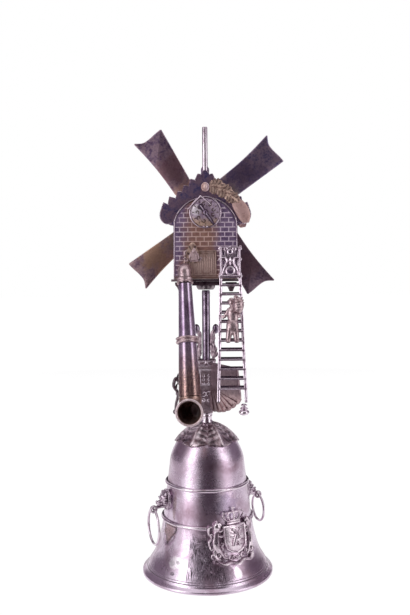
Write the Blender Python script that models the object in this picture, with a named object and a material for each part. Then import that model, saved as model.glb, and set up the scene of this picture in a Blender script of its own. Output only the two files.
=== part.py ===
"""Silver windmill wager cup.

A bell-shaped cup stands on its rim. A cast stem on its crown carries a small post mill
whose sails, dial hand and paddle wheel share one windshaft. A blow pipe and a ladder
hang from the mill's rear wall, and two lion masks on the bell hold loose rings.
The mill's rear, with its dial, looks along -Y, and the sails are at +Y. Everything is
drawn about the middle of the rim, on the surface that the cup stands on, and is moved
at the end so that the origin is in the middle of the whole cup's footprint.
"""
import math

import bmesh
import bpy
from mathutils import Matrix, Vector

MM = 0.001
GAP = 0.3 * MM
RIM_MIDDLE_Y = 7.0 * MM

# Bell cup: radius and height of its outside, from the rim up to the crown
BELL_OUTSIDE = [(31.6, 1.9), (29.4, 5.6), (27.3, 9.0), (25.6, 13.0), (24.2, 18.0),
                (22.9, 24.0), (22.3, 28.0), (21.5, 36.0), (20.2, 45.0), (19.3, 52.0),
                (18.5, 58.0), (16.6, 62.8), (13.6, 67.6), (9.2, 71.5), (4.4, 73.8)]
CROWN_Z = 74.4 * MM
CUP_WALL = 1.0 * MM
RIM_R = 33.0 * MM
RIM_FOOT_WIDTH = 2.0 * MM
RIM_LIP_HEIGHT = 1.3 * MM
BELL_STEPS = 40

# Half-round bands round the bell
UPPER_BAND_Z = 45.0 * MM
LOWER_BAND_Z = 27.6 * MM
BAND_HEIGHT = 1.9 * MM
BAND_PROUD = 1.1 * MM
BAND_STOP_ANGLE = math.radians(1.5)

# Coat of arms applied to the bell
ARMS_AZIMUTH = math.radians(32.5)
ARMS_Z = 24.0 * MM
ARMS_HALF_WIDTH = 12.8 * MM
ARMS_THICK = 1.0 * MM
SHIELD_THICK = 0.9 * MM
SHIELD_WIDTH = 11.4 * MM
SHIELD_HEIGHT = 12.2 * MM
ARMS_STEPS = 13

# Lion masks and their loose rings
MASKS = {"left": dict(azimuth=math.radians(-68.0), eye_z=33.4 * MM, ring_height=18.2 * MM),
         "right": dict(azimuth=math.radians(112.0), eye_z=34.2 * MM, ring_height=14.6 * MM)}
MASK_HEIGHT = 10.6 * MM
MASK_WIDTH = 9.6 * MM
EYE_R = 28.8 * MM
EYE_BORE_R = 1.15 * MM
JAW_R = 2.1 * MM
JAW_WIDTH = 3.2 * MM
RING_WIRE_R = 0.62 * MM

# Calyx of leaves on the crown
LEAF_COUNT = 6
LEAF_TIP_R = 15.6 * MM
LEAF_THICK = 0.9 * MM

# Stem: collar, four-sided pedestal, volute arms and the mill's post
COLLAR_R = 2.95 * MM
COLLAR_HEIGHT = 4.6 * MM
COLLAR_TOP_Z = CROWN_Z + GAP + COLLAR_HEIGHT
PEDESTAL_HEIGHT = 27.0 * MM
PEDESTAL_TOP_Z = COLLAR_TOP_Z + GAP + PEDESTAL_HEIGHT
PEDESTAL_TOP_HALF = 4.5 * MM
PEDESTAL_FOOT_HALF = 3.1 * MM
PEDESTAL_SOCKET_DEPTH = 3.6 * MM
POST_R = 2.05 * MM
POST_RISE = 35.4 * MM
POST_TOP_Z = PEDESTAL_TOP_Z + POST_RISE
ARM_HEIGHT = 16.4 * MM
ARM_BALL_R = 1.7 * MM
ARM_BALL_X = 4.9 * MM

# Mill house
FLOOR_RISE = 5.4 * MM
FLOOR_Z = POST_TOP_Z + FLOOR_RISE
FLOOR_THICK = 0.9 * MM
FLOOR_LEDGE = 1.2 * MM
HOUSE_HALF_WIDTH = 15.65 * MM
HOUSE_REAR_Y = -17.0 * MM
HOUSE_FRONT_Y = 16.0 * MM
HOUSE_SHEET = 0.8 * MM
WALL_HEIGHT = 28.4 * MM
SHOULDER_Z = FLOOR_Z + WALL_HEIGHT
ROOF_RISE = 12.2 * MM
ROOF_TOP_Z = SHOULDER_Z + ROOF_RISE
ROOF_SHEET = 0.7 * MM
PLINTH_HALF = 6.9 * MM
PLINTH_HEIGHT = 1.6 * MM
CREST_THICK = 0.8 * MM
CREST_SETBACK = 1.6 * MM
POLE_R = 1.35 * MM
POLE_RISE = 37.5 * MM
POLE_TOP_Z = ROOF_TOP_Z + POLE_RISE
POLE_SOCKET_R = 2.6 * MM
POLE_SOCKET_HEIGHT = 3.2 * MM

# Dial on the rear wall
DIAL_Z = SHOULDER_Z + 4.4 * MM
DIAL_R = 7.9 * MM
DIAL_RING_WIDTH = 0.7 * MM
DIAL_THICK = 0.4 * MM

# Windshaft line: it starts on the rear wall at the dial's middle and rises to the sails
SHAFT_TILT = math.radians(5.4)
SHAFT_R = 1.0 * MM
SHAFT_CLEARANCE = 0.3 * MM
BUSH_R = 2.3 * MM
BUSH_LENGTH = 2.4 * MM
HAND_OFFSET = 2.5 * MM
HAND_THICK = 0.6 * MM
HAND_TIP_R = 7.6 * MM
HAND_TAIL_R = 4.8 * MM
HAND_CLOCK_ANGLE = math.radians(144.0)
WHEEL_R = 4.7 * MM
WHEEL_WIDTH = 5.0 * MM
WHEEL_OFFSET = 14.0 * MM
WHEEL_VANES = 8

# Sails
SAIL_OFFSET = 39.3 * MM
SAIL_THICK = 0.7 * MM
SAIL_ROOT_R = 3.7 * MM
SAIL_TIP_R = 51.6 * MM
SAIL_ROOT_WIDTH = 6.0 * MM
SAIL_NECK_R = 17.0 * MM
SAIL_TIP_WIDTH = 16.0 * MM
SAIL_TIP_SLANT = 1.8 * MM
SAIL_SHIFT = 2.5 * MM
SAIL_NOTCH = 2.6 * MM
SAIL_HOLLOW = 0.9 * MM
# Angle of each sail and its width at the neck: they are cut by hand and differ a little
SAILS = {"upper_right": (39.2, 12.2), "upper_left": (124.4, 10.4), "lower_left": (220.0, 9.8),
         "lower_right": (303.6, 11.2)}
HUB_R = 5.2 * MM
HUB_CORE_R = 3.2 * MM
HUB_FLANGE = 1.1 * MM

# Blow pipe, from the elbow on the rear wall down to its forward-facing mouth
ELBOW_X = -9.6 * MM
ELBOW_Z = FLOOR_Z + 5.2 * MM
ELBOW_R = 2.9 * MM
ELBOW_BORE_R = 1.7 * MM
ELBOW_DROP = 3.3 * MM
ELBOW_LEG = 3.9 * MM
PIPE_TOP = (-10.0 * MM, HOUSE_REAR_Y - 5.6 * MM, FLOOR_Z - 2.2 * MM)
PIPE_FOOT = (-7.7 * MM, HOUSE_REAR_Y - 20.0 * MM, PEDESTAL_TOP_Z - 13.1 * MM)
PIPE_TOP_R = 3.15 * MM
PIPE_FOOT_R = 5.2 * MM
PIPE_WALL = 0.7 * MM
PIPE_RING_SHARE = 0.51
PIPE_RING_PROUD = 1.1 * MM
PIPE_RING_HEIGHT = 3.0 * MM
PIPE_STUB = 1.0 * MM
PIPE_BEND_R = 6.0 * MM
MOUTH_WAY = (-0.06, -1.0, -0.05)
MOUTH_LENGTH = 3.6 * MM
MOUTH_R = 6.4 * MM
MOUTH_BORE_R = 5.15 * MM

# Ladder, its gate, its foot and the miller on it
LADDER_TOP = (11.7 * MM, HOUSE_REAR_Y - 1.7 * MM, FLOOR_Z + 14.3 * MM)
LADDER_FOOT = (11.8 * MM, HOUSE_REAR_Y - 20.2 * MM, PEDESTAL_TOP_Z - 15.9 * MM)
LADDER_TOP_HALF = 4.7 * MM
LADDER_FOOT_HALF = 6.9 * MM
RAIL_WIDTH = 1.1 * MM
RAIL_DEPTH = 2.0 * MM
TREAD_COUNT = 12
TREAD_DEPTH = 3.4 * MM
TREAD_THICK = 0.7 * MM
TREAD_FIRST = 6.9 * MM
TREAD_LAST = 56.0 * MM
GATE_FOOT = 59.4 * MM
GATE_HEIGHT = 15.4 * MM
GATE_HALF_WIDTH = 5.2 * MM
GATE_THICK = 0.8 * MM
FINIAL_BALL_R = 2.45 * MM
FINIAL_INSET = 1.0 * MM
FINIAL_BALL_HEIGHT = 2.8 * MM
MILLER_RISE = 39.5 * MM

# Brackets from the stem: a shell-edged wing to the ladder's foot, a scroll to the blow pipe
WING_AZIMUTH = math.radians(-63.5)
WING_DROP = 13.4 * MM
WING_HEIGHT = 11.2 * MM
WING_REACH = 35.2 * MM
WING_THICK = 1.2 * MM
WING_HEAD_DROP = 1.0 * MM
WING_HEAD_REACH = 32.5 * MM
WING_LOBES = 6
SCROLL_DROP = 15.6 * MM
SCROLL_R = 1.15 * MM
SCROLL_BALL_R = 1.3 * MM

# Colours: tarnished silver, its dark purple-brown tarnish and the pale polished wires
PALE_SILVER = (0.62, 0.58, 0.64)
WARM_TARNISH = (0.30, 0.24, 0.25)
DARK_TARNISH = (0.13, 0.10, 0.16)


def clear_scene():
    for obj in list(bpy.data.objects):
        bpy.data.objects.remove(obj, do_unlink=True)


def finish(name, bm, colour, parent=None, roughness=0.28):
    """Turns a bmesh into a named object with its own silver material."""
    bmesh.ops.remove_doubles(bm, verts=bm.verts, dist=0.001 * MM)
    bmesh.ops.recalc_face_normals(bm, faces=bm.faces)
    mesh = bpy.data.meshes.new(name)
    bm.to_mesh(mesh)
    bm.free()
    mesh.shade_smooth()
    mesh.set_sharp_from_angle(angle=math.radians(35.0))
    material = bpy.data.materials.new(name)
    material.use_nodes = True
    shader = material.node_tree.nodes["Principled BSDF"]
    shader.inputs["Base Color"].default_value = (*colour, 1.0)
    shader.inputs["Metallic"].default_value = 1.0
    shader.inputs["Roughness"].default_value = roughness
    mesh.materials.append(material)
    obj = bpy.data.objects.new(name, mesh)
    bpy.context.scene.collection.objects.link(obj)
    obj.parent = parent
    return obj


def frame_at(name, place, turn=None):
    """An empty that carries the pieces built along its own axes."""
    empty = bpy.data.objects.new(name, None)
    bpy.context.scene.collection.objects.link(empty)
    empty.location = place
    if turn is not None:
        empty.rotation_mode = "QUATERNION"
        empty.rotation_quaternion = turn
    return empty


def boolean(target, tool, operation):
    """Cuts or joins with a helper solid that isn't itself a piece."""
    modifier = target.modifiers.new(tool.name, "BOOLEAN")
    modifier.operation = operation
    modifier.solver = "EXACT"
    modifier.object = tool
    tool.hide_render = True
    tool.display_type = "WIRE"


def smooth_through(points, per_span):
    """Points of a Catmull-Rom curve through the given ones."""
    padded = [points[0], *points, points[-1]]
    curve = []
    for a, b, c, d in zip(padded, padded[1:], padded[2:], padded[3:]):
        for step in range(per_span):
            t = step / per_span
            curve.append(tuple(
                0.5 * (2 * q + (r - p) * t + (2 * p - 5 * q + 4 * r - s) * t * t
                       + (3 * q - p - 3 * r + s) * t * t * t)
                for p, q, r, s in zip(a, b, c, d)))
    curve.append(tuple(points[-1]))
    return curve


def offset_profile(profile, distance):
    """The profile moved along its normals: outwards is away from the axis or upwards."""
    moved = []
    for index, (radius, height) in enumerate(profile):
        before = profile[max(index - 1, 0)]
        after = profile[min(index + 1, len(profile) - 1)]
        along = Vector((after[0] - before[0], after[1] - before[1])).normalized()
        moved.append((radius + along.y * distance, height - along.x * distance))
    return moved


BELL = [(radius * MM, height * MM) for radius, height in BELL_OUTSIDE]


def bell_radius(height):
    """Outer radius of the bell at a height."""
    for (r0, z0), (r1, z1) in zip(BELL, BELL[1:]):
        if z0 <= height <= z1:
            return r0 + (r1 - r0) * (height - z0) / (z1 - z0)
    return BELL[0][0]


def turned(name, profile, colour, steps=24, parent=None, ring=False, sweep=None):
    """A turned solid about the local Z axis.

    The profile of (radius, height) points runs from axis to axis, or is a closed loop
    when ring is set. A sweep, in radians, leaves a sector with flat ends.
    """
    bm = bmesh.new()
    verts = [bm.verts.new((radius, 0.0, height)) for radius, height in profile]
    edges = [bm.edges.new(pair) for pair in zip(verts, verts[1:])]
    if ring:
        edges.append(bm.edges.new((verts[-1], verts[0])))
    made = bmesh.ops.spin(bm, geom=verts + edges, cent=(0, 0, 0), axis=(0, 0, 1),
                          angle=sweep or 2 * math.pi, steps=steps, use_merge=sweep is None)
    if sweep:
        last = [item for item in made["geom_last"] if isinstance(item, bmesh.types.BMEdge)]
        bmesh.ops.contextual_create(bm, geom=edges)
        bmesh.ops.contextual_create(bm, geom=last)
    return finish(name, bm, colour, parent)


def plate(name, loops, y_from, y_to, colour, parent=None):
    """A sheet in the XZ plane: the first loop is its edge, the others are holes."""
    bm = bmesh.new()
    edges = []
    for loop in loops:
        verts = [bm.verts.new((x, y_from, z)) for x, z in loop]
        edges += [bm.edges.new(pair) for pair in zip(verts, verts[1:] + verts[:1])]
    filled = bmesh.ops.triangle_fill(bm, use_beauty=True, edges=edges)
    faces = [item for item in filled["geom"] if isinstance(item, bmesh.types.BMFace)]
    grown = bmesh.ops.extrude_face_region(bm, geom=faces)
    moved = [item for item in grown["geom"] if isinstance(item, bmesh.types.BMVert)]
    bmesh.ops.translate(bm, verts=moved, vec=(0.0, y_to - y_from, 0.0))
    return finish(name, bm, colour, parent)


def block(name, low, high, colour, parent=None, top_scale=1.0):
    """A rectangular block whose top may be larger or smaller than its foot."""
    bm = bmesh.new()
    size = [b - a for a, b in zip(low, high)]
    middle = [(a + b) / 2 for a, b in zip(low, high)]
    place = Matrix.Translation(middle) @ Matrix.Diagonal((*size, 1.0))
    made = bmesh.ops.create_cube(bm, size=1.0, matrix=place)
    top = [v for v in made["verts"] if v.co.z > middle[2]]
    bmesh.ops.scale(bm, verts=top, vec=(top_scale, top_scale, 1.0),
                    space=Matrix.Translation((-middle[0], -middle[1], 0.0)))
    return finish(name, bm, colour, parent)


def ball(name, centre, radii, colour, parent=None, detail=10):
    """A sphere or an ellipsoid."""
    bm = bmesh.new()
    place = Matrix.Translation(centre) @ Matrix.Diagonal((*radii, 1.0))
    bmesh.ops.create_uvsphere(bm, u_segments=detail, v_segments=max(6, detail * 2 // 3),
                              radius=1.0, matrix=place)
    return finish(name, bm, colour, parent)


def rod(name, start, end, radius, colour, parent=None, sides=16, end_radius=None):
    """A round bar between two points."""
    start, end = Vector(start), Vector(end)
    along = end - start
    turn = along.to_track_quat("Z", "Y").to_matrix().to_4x4()
    bm = bmesh.new()
    bmesh.ops.create_cone(bm, cap_ends=True, segments=sides, radius1=radius,
                          radius2=end_radius or radius, depth=along.length,
                          matrix=Matrix.Translation((start + end) / 2) @ turn)
    return finish(name, bm, colour, parent)


def swept(name, path, radii, colour, parent=None, roundness=2):
    """A round tube of changing radius along a path, with closed ends."""
    data = bpy.data.curves.new(name, "CURVE")
    data.dimensions = "3D"
    data.bevel_depth = 1.0
    data.bevel_resolution = roundness
    data.use_fill_caps = True
    spline = data.splines.new("POLY")
    spline.points.add(len(path) - 1)
    for point, place, radius in zip(spline.points, path, radii):
        point.co = (*place, 1.0)
        point.radius = radius
    guide = bpy.data.objects.new(name + "_guide", data)
    bpy.context.scene.collection.objects.link(guide)
    graph = bpy.context.evaluated_depsgraph_get()
    mesh = bpy.data.meshes.new_from_object(guide.evaluated_get(graph))
    bm = bmesh.new()
    bm.from_mesh(mesh)
    bpy.data.objects.remove(guide, do_unlink=True)
    bpy.data.meshes.remove(mesh)
    return finish(name, bm, colour, parent)


def circle(centre_x, centre_z, radius, count, start=0.0, end=2 * math.pi, closed=True):
    """Points of a circle or, when it isn't closed, of an arc with both its ends."""
    steps = count if closed else count - 1
    return [(centre_x + radius * math.cos(start + (end - start) * i / steps),
             centre_z + radius * math.sin(start + (end - start) * i / steps))
            for i in range(count)]


def mirrored(half):
    """A closed outline from its right half, given from the bottom middle to the top middle."""
    left = [(-x, z) for x, z in reversed(half) if abs(x) > 1e-9]
    return list(half) + left


def in_mm(points):
    return [tuple(value * MM for value in point) for point in points]


def build_bell():
    """The cup itself, a raised bell with a flat thick rim, and its two bands."""
    inside = offset_profile(BELL, -CUP_WALL)[1:]
    profile = [(0.0, CROWN_Z), *reversed(BELL), (RIM_R, RIM_LIP_HEIGHT), (RIM_R, 0.0),
               (RIM_R - RIM_FOOT_WIDTH, 0.0), (RIM_R - RIM_FOOT_WIDTH, RIM_LIP_HEIGHT),
               *inside, (0.0, CROWN_Z - CUP_WALL)]
    turned("cup_bowl", profile, PALE_SILVER, BELL_STEPS)
    for name, height in (("upper_band", UPPER_BAND_Z), ("lower_band", LOWER_BAND_Z)):
        half = BAND_HEIGHT / 2
        inner = [(bell_radius(height + rise) + GAP, height + rise) for rise in (half, -half)]
        outer = [(bell_radius(height) + GAP + BAND_PROUD * share, height + half * rise)
                 for share, rise in ((0.4, -1.0), (1.0, -0.4), (1.0, 0.4), (0.4, 1.0))]
        if name == "upper_band":
            turned(name, inner + outer, PALE_SILVER, BELL_STEPS, ring=True)
            continue
        # The lower band stops on both sides of the coat of arms, which takes its place there
        opening = math.asin(ARMS_HALF_WIDTH / bell_radius(height)) + BAND_STOP_ANGLE
        band = turned(name, inner + outer, PALE_SILVER, BELL_STEPS - 6, ring=True,
                      sweep=2 * (math.pi - opening))
        band.rotation_euler.z = ARMS_AZIMUTH + opening - math.pi / 2


def bell_skin(name, low, high, back, front, middle, half_angle, parent=None):
    """A sector of a shell that follows the bell, from back to front outside its surface."""
    part = [point for point in BELL if low <= point[1] <= high]
    loop = offset_profile(part, back) + list(reversed(offset_profile(part, front)))
    skin = turned(name, loop, PALE_SILVER, ARMS_STEPS, parent, ring=True, sweep=2 * half_angle)
    skin.rotation_euler.z = middle - half_angle - math.pi / 2
    return skin


def cut_to_outline(skin, loops, middle):
    """Keeps only what an outline, seen square on, covers of a skin on the bell."""
    tool = plate(skin.name + "_outline", loops, -45.0 * MM, -12.0 * MM, PALE_SILVER)
    tool.rotation_euler.z = middle
    boolean(skin, tool, "INTERSECT")


def build_arms():
    """A generic coat of arms in three layers: supporters on a scroll, shield and crown."""
    middle = ARMS_Z
    half = [(0.0, -12.6), (2.4, -13.5), (5.0, -12.2), (8.6, -13.2), (11.6, -11.6), (10.8, -9.6),
            (12.6, -7.4), (12.8, -4.2), (11.4, -1.6), (12.4, 1.2), (11.9, 4.4), (10.6, 6.2),
            (11.1, 8.2), (9.4, 9.6), (7.4, 8.6), (6.9, 6.4), (5.6, 4.8), (0.0, 4.8)]
    supporters = mirrored([(x * MM, middle + z * MM) for x, z in half])
    flank = [(6.3, 3.2), (8.0, 1.8), (7.6, -1.6), (8.2, -4.6), (6.4, -5.4)]
    foot = [(2.6, -9.4), (6.2, -7.6), (8.2, -9.4), (5.2, -10.8)]
    holes = [[(side * x * MM, middle + z * MM) for x, z in hole]
             for hole in (flank, foot) for side in (1, -1)]
    spread = math.radians(40.0)
    base = bell_skin("arms_supporters", 8.0 * MM, 40.0 * MM, GAP, GAP + ARMS_THICK,
                     ARMS_AZIMUTH, spread)
    cut_to_outline(base, [supporters, *holes], ARMS_AZIMUTH)

    top = middle + 4.6 * MM
    wide = SHIELD_WIDTH / 2
    shield_half = [(0.0, top - SHIELD_HEIGHT), (wide * 0.45, top - SHIELD_HEIGHT * 0.93),
                   (wide * 0.86, top - SHIELD_HEIGHT * 0.8), (wide, top - SHIELD_HEIGHT * 0.62),
                   (wide, top), (0.0, top)]
    shield_back = 2 * GAP + ARMS_THICK
    shield = bell_skin("arms_shield", 8.0 * MM, 40.0 * MM, shield_back,
                       shield_back + SHIELD_THICK, ARMS_AZIMUTH, spread)
    cut_to_outline(shield, [mirrored(shield_half)], ARMS_AZIMUTH)

    crown_half = [(0.0, 5.2), (3.3, 5.2), (3.5, 6.6), (5.8, 9.4), (5.4, 10.7), (4.0, 11.1),
                  (2.7, 11.2), (1.0, 11.4), (0.9, 13.2), (0.0, 13.4)]
    crown = mirrored([(x * MM, middle + z * MM) for x, z in crown_half])
    slot = [(0.8, 7.4), (2.3, 7.5), (3.4, 9.7), (0.9, 9.9)]
    slots = [[(side * x * MM, middle + z * MM) for x, z in slot] for side in (1, -1)]
    topping = bell_skin("arms_crown", 20.0 * MM, 52.0 * MM, GAP, GAP + ARMS_THICK,
                        ARMS_AZIMUTH, spread)
    cut_to_outline(topping, [crown, *slots], ARMS_AZIMUTH)


def build_mask(side, azimuth, eye_z, ring_height):
    """A cast lion mask soldered on the bell, with a loose ring through its jaw."""
    turn = Matrix.Rotation(azimuth, 4, "Z").to_quaternion()
    carrier = frame_at(side + "_mask_frame", (0.0, 0.0, 0.0), turn)
    middle_z = eye_z + 0.4 * MASK_HEIGHT
    skin_y = -bell_radius(middle_z)
    name = side + "_lion_mask"
    mask = ball(name, (0.0, skin_y - 0.5 * MM, middle_z),
                (MASK_WIDTH / 2, 2.9 * MM, MASK_HEIGHT / 2), PALE_SILVER, carrier, 14)
    lumps = {
        "brow": ((0.0, skin_y - 2.2 * MM, middle_z + 0.8 * MM), (3.0 * MM, 2.6 * MM, 3.4 * MM)),
        "muzzle": ((0.0, skin_y - 3.9 * MM, eye_z + 2.5 * MM), (2.0 * MM, 3.2 * MM, 2.0 * MM)),
        "left_ear": ((-3.2 * MM, skin_y - 1.6 * MM, middle_z + 3.6 * MM), (1.2 * MM,) * 3),
        "right_ear": ((3.2 * MM, skin_y - 1.6 * MM, middle_z + 3.6 * MM), (1.2 * MM,) * 3),
    }
    for lump, (centre, radii) in lumps.items():
        boolean(mask, ball(f"{name}_{lump}", centre, radii, PALE_SILVER, carrier), "UNION")
    half = JAW_WIDTH / 2
    jaw = rod(name + "_jaw", (-half, -EYE_R, eye_z), (half, -EYE_R, eye_z), JAW_R,
              PALE_SILVER, carrier)
    boolean(mask, jaw, "UNION")
    chin = rod(name + "_chin", (0.0, -EYE_R + 0.8 * MM, eye_z + 0.6 * MM),
               (0.0, skin_y, eye_z + 1.4 * MM), 1.3 * MM, PALE_SILVER, carrier, 10)
    boolean(mask, chin, "UNION")
    bore = rod(name + "_bore", (-3 * half, -EYE_R, eye_z), (3 * half, -EYE_R, eye_z),
               EYE_BORE_R, PALE_SILVER, carrier)
    boolean(mask, bore, "DIFFERENCE")
    shell = offset_profile(BELL, GAP)
    seat = [(0.0, 0.0), (shell[0][0], 0.0), *shell[1:], (0.0, CROWN_Z + GAP)]
    boolean(mask, turned(name + "_seat", seat, PALE_SILVER, BELL_STEPS), "DIFFERENCE")

    hinge = frame_at(side + "_ring_hinge",
                     Matrix.Rotation(azimuth, 3, "Z") @ Vector((0.0, -EYE_R, eye_z)), turn)
    major = ring_height / 2 - RING_WIRE_R
    ring = turned(side + "_ring", circle(major, 0.0, RING_WIRE_R, 6), PALE_SILVER, 24,
                  hinge, ring=True)
    ring.location.z = -major
    ring.rotation_euler.x = math.pi / 2


def build_calyx():
    """Six acanthus leaves lapped over the crown of the bell."""
    part = [point for point in BELL if point[1] > 60.0 * MM]
    back = offset_profile(part, GAP)
    front = offset_profile(part, GAP + LEAF_THICK)
    hole = COLLAR_R + GAP
    top = CROWN_Z - 0.3 * MM
    loop = [*back, (hole, top + GAP), (hole, top + GAP + LEAF_THICK), *reversed(front)]
    leaves = turned("calyx_leaves", loop, WARM_TARNISH, 24, ring=True)
    outline = []
    steps = [(-26, 0.60), (-19, 0.74), (-15, 0.70), (-11, 0.87), (-7, 0.83), (0, 1.0),
             (7, 0.83), (11, 0.87), (15, 0.70), (19, 0.74), (26, 0.60)]
    for leaf in range(LEAF_COUNT):
        axis = (leaf + 0.5) * 360.0 / LEAF_COUNT - 90.0
        for turn, share in steps:
            angle = math.radians(axis + turn)
            outline.append((LEAF_TIP_R * share * math.cos(angle),
                            LEAF_TIP_R * share * math.sin(angle)))
    tool = plate("calyx_outline", [outline], -40.0 * MM, 40.0 * MM, WARM_TARNISH)
    tool.rotation_euler.x = math.pi / 2
    tool.location.z = CROWN_Z
    boolean(leaves, tool, "INTERSECT")


def build_stem():
    """Collar, four-sided cast pedestal, two volute arms and the post under the mill."""
    foot = CROWN_Z + GAP
    turned("stem_collar", [(0.0, foot), (COLLAR_R, foot), (COLLAR_R, foot + 0.6 * MM),
                           (COLLAR_R * 0.88, foot + 1.2 * MM),
                           (COLLAR_R * 0.88, COLLAR_TOP_Z - 0.8 * MM),
                           (COLLAR_R, COLLAR_TOP_Z), (0.0, COLLAR_TOP_Z)], PALE_SILVER, 20)

    bottom = COLLAR_TOP_Z + GAP
    bm = bmesh.new()
    levels = [(0.0, 0.0), (0.10, 0.32), (0.22, 0.24), (0.28, 0.48), (0.50, 0.60), (0.52, 0.76),
              (0.92, 0.88), (0.95, 1.0), (1.0, 0.92)]
    height = PEDESTAL_TOP_Z - bottom
    rows = []
    for rise, share in levels:
        half = PEDESTAL_FOOT_HALF + (PEDESTAL_TOP_HALF - PEDESTAL_FOOT_HALF) * share
        corner = 0.16 * half
        outline = [(half, corner - half), (half, half - corner), (half - corner, half)]
        row = []
        for quarter in range(4):
            turn = Matrix.Rotation(quarter * math.pi / 2, 3, "Z")
            for x, y in outline[1:]:
                row.append(bm.verts.new(turn @ Vector((x, y, bottom + rise * height))))
        rows.append([bm.edges.new(pair) for pair in zip(row, row[1:] + row[:1])])
    for lower, upper in zip(rows, rows[1:]):
        bmesh.ops.bridge_loops(bm, edges=lower + upper)
    for row in (rows[0], rows[-1]):
        bmesh.ops.contextual_create(bm, geom=row)
    pedestal = finish("stem_pedestal", bm, WARM_TARNISH)
    socket_foot = PEDESTAL_TOP_Z - PEDESTAL_SOCKET_DEPTH
    socket = rod("pedestal_socket", (0, 0, socket_foot), (0, 0, PEDESTAL_TOP_Z + 2 * MM),
                 POST_R + 0.9 * MM, WARM_TARNISH)
    boolean(pedestal, socket, "DIFFERENCE")

    turned("mill_post", [(0.0, socket_foot + GAP), (POST_R, socket_foot + GAP),
                         (POST_R, POST_TOP_Z), (0.0, POST_TOP_Z)], DARK_TARNISH, 20)

    # Each arm rises from the pedestal's edge: shares of its height, and how far out it stands
    curve = [(0.0, 0.83), (0.18, 0.91), (0.46, 0.74), (0.73, 0.87)]
    root_z = PEDESTAL_TOP_Z + GAP
    ball_z = PEDESTAL_TOP_Z + ARM_HEIGHT
    for side, way in (("left", -1), ("right", 1)):
        path = [(way * PEDESTAL_TOP_HALF * out, 0.0, root_z + rise * ARM_HEIGHT) for rise, out in curve]
        path = smooth_through([*path, (way * ARM_BALL_X, 0.0, ball_z)], 3)
        widths = [0.62 * MM + 0.34 * MM * math.sin(math.pi * i / (len(path) - 1))
                  for i in range(len(path))]
        arm = swept(side + "_volute_arm", path, widths, WARM_TARNISH, None, 1)
        knob = ball(side + "_arm_ball", (way * ARM_BALL_X, 0.0, ball_z), (ARM_BALL_R,) * 3,
                    WARM_TARNISH)
        boolean(arm, knob, "UNION")


def build_floor():
    """Floor of the mill with the plinth, the two-lobed corbel and the brackets below it."""
    floor_foot = FLOOR_Z - FLOOR_THICK
    block("floor_plate", (-HOUSE_HALF_WIDTH - FLOOR_LEDGE, HOUSE_REAR_Y - FLOOR_LEDGE, floor_foot),
          (HOUSE_HALF_WIDTH + FLOOR_LEDGE, HOUSE_FRONT_Y + 0.6 * MM, FLOOR_Z), DARK_TARNISH)
    plinth_top = floor_foot - GAP
    plinth_foot = plinth_top - PLINTH_HEIGHT
    block("floor_plinth", (-PLINTH_HALF, -PLINTH_HALF, plinth_foot),
          (PLINTH_HALF, PLINTH_HALF, plinth_top), DARK_TARNISH)
    corbel_top = plinth_foot - GAP
    corbel_foot = POST_TOP_Z + GAP
    corbel = ball("post_corbel", (-2.3 * MM, 0.0, corbel_top), (2.5 * MM, 2.4 * MM, 2.4 * MM),
                  WARM_TARNISH, None, 12)
    other = ball("corbel_lobe", (2.3 * MM, 0.0, corbel_top), (2.5 * MM, 2.4 * MM, 2.4 * MM),
                 WARM_TARNISH, None, 12)
    neck = rod("corbel_neck", (0, 0, corbel_foot), (0, 0, corbel_top), 2.3 * MM, WARM_TARNISH)
    trim = block("corbel_trim", (-8 * MM, -8 * MM, corbel_top), (8 * MM, 8 * MM, corbel_top + 5 * MM),
                 WARM_TARNISH)
    foot_trim = block("corbel_foot_trim", (-8 * MM, -8 * MM, corbel_foot - 5 * MM),
                      (8 * MM, 8 * MM, corbel_foot), WARM_TARNISH)
    boolean(corbel, other, "UNION")
    boolean(corbel, neck, "UNION")
    boolean(corbel, trim, "DIFFERENCE")
    boolean(corbel, foot_trim, "DIFFERENCE")
    for side, way in (("left", -1), ("right", 1)):
        inner, outer = 9.6 * MM, 15.4 * MM
        low_x, high_x = sorted((way * inner, way * outer))
        block(side + "_floor_bracket", (low_x + 1.2 * MM, -14.6 * MM, plinth_top - 4.8 * MM),
              (high_x - 1.2 * MM, -9.4 * MM, plinth_top), DARK_TARNISH, None, 1.6)


ROOF_R = (HOUSE_HALF_WIDTH ** 2 + ROOF_RISE ** 2) / (2 * ROOF_RISE)
ROOF_CENTRE_Z = ROOF_TOP_Z - ROOF_R
ROOF_SPRING = math.asin((SHOULDER_Z - ROOF_CENTRE_Z) / ROOF_R)
SHAFT_START = Vector((0.0, HOUSE_REAR_Y, DIAL_Z))
FRONT_HOLE_Z = DIAL_Z + (HOUSE_FRONT_Y - HOUSE_REAR_Y) * math.tan(SHAFT_TILT)


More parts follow.
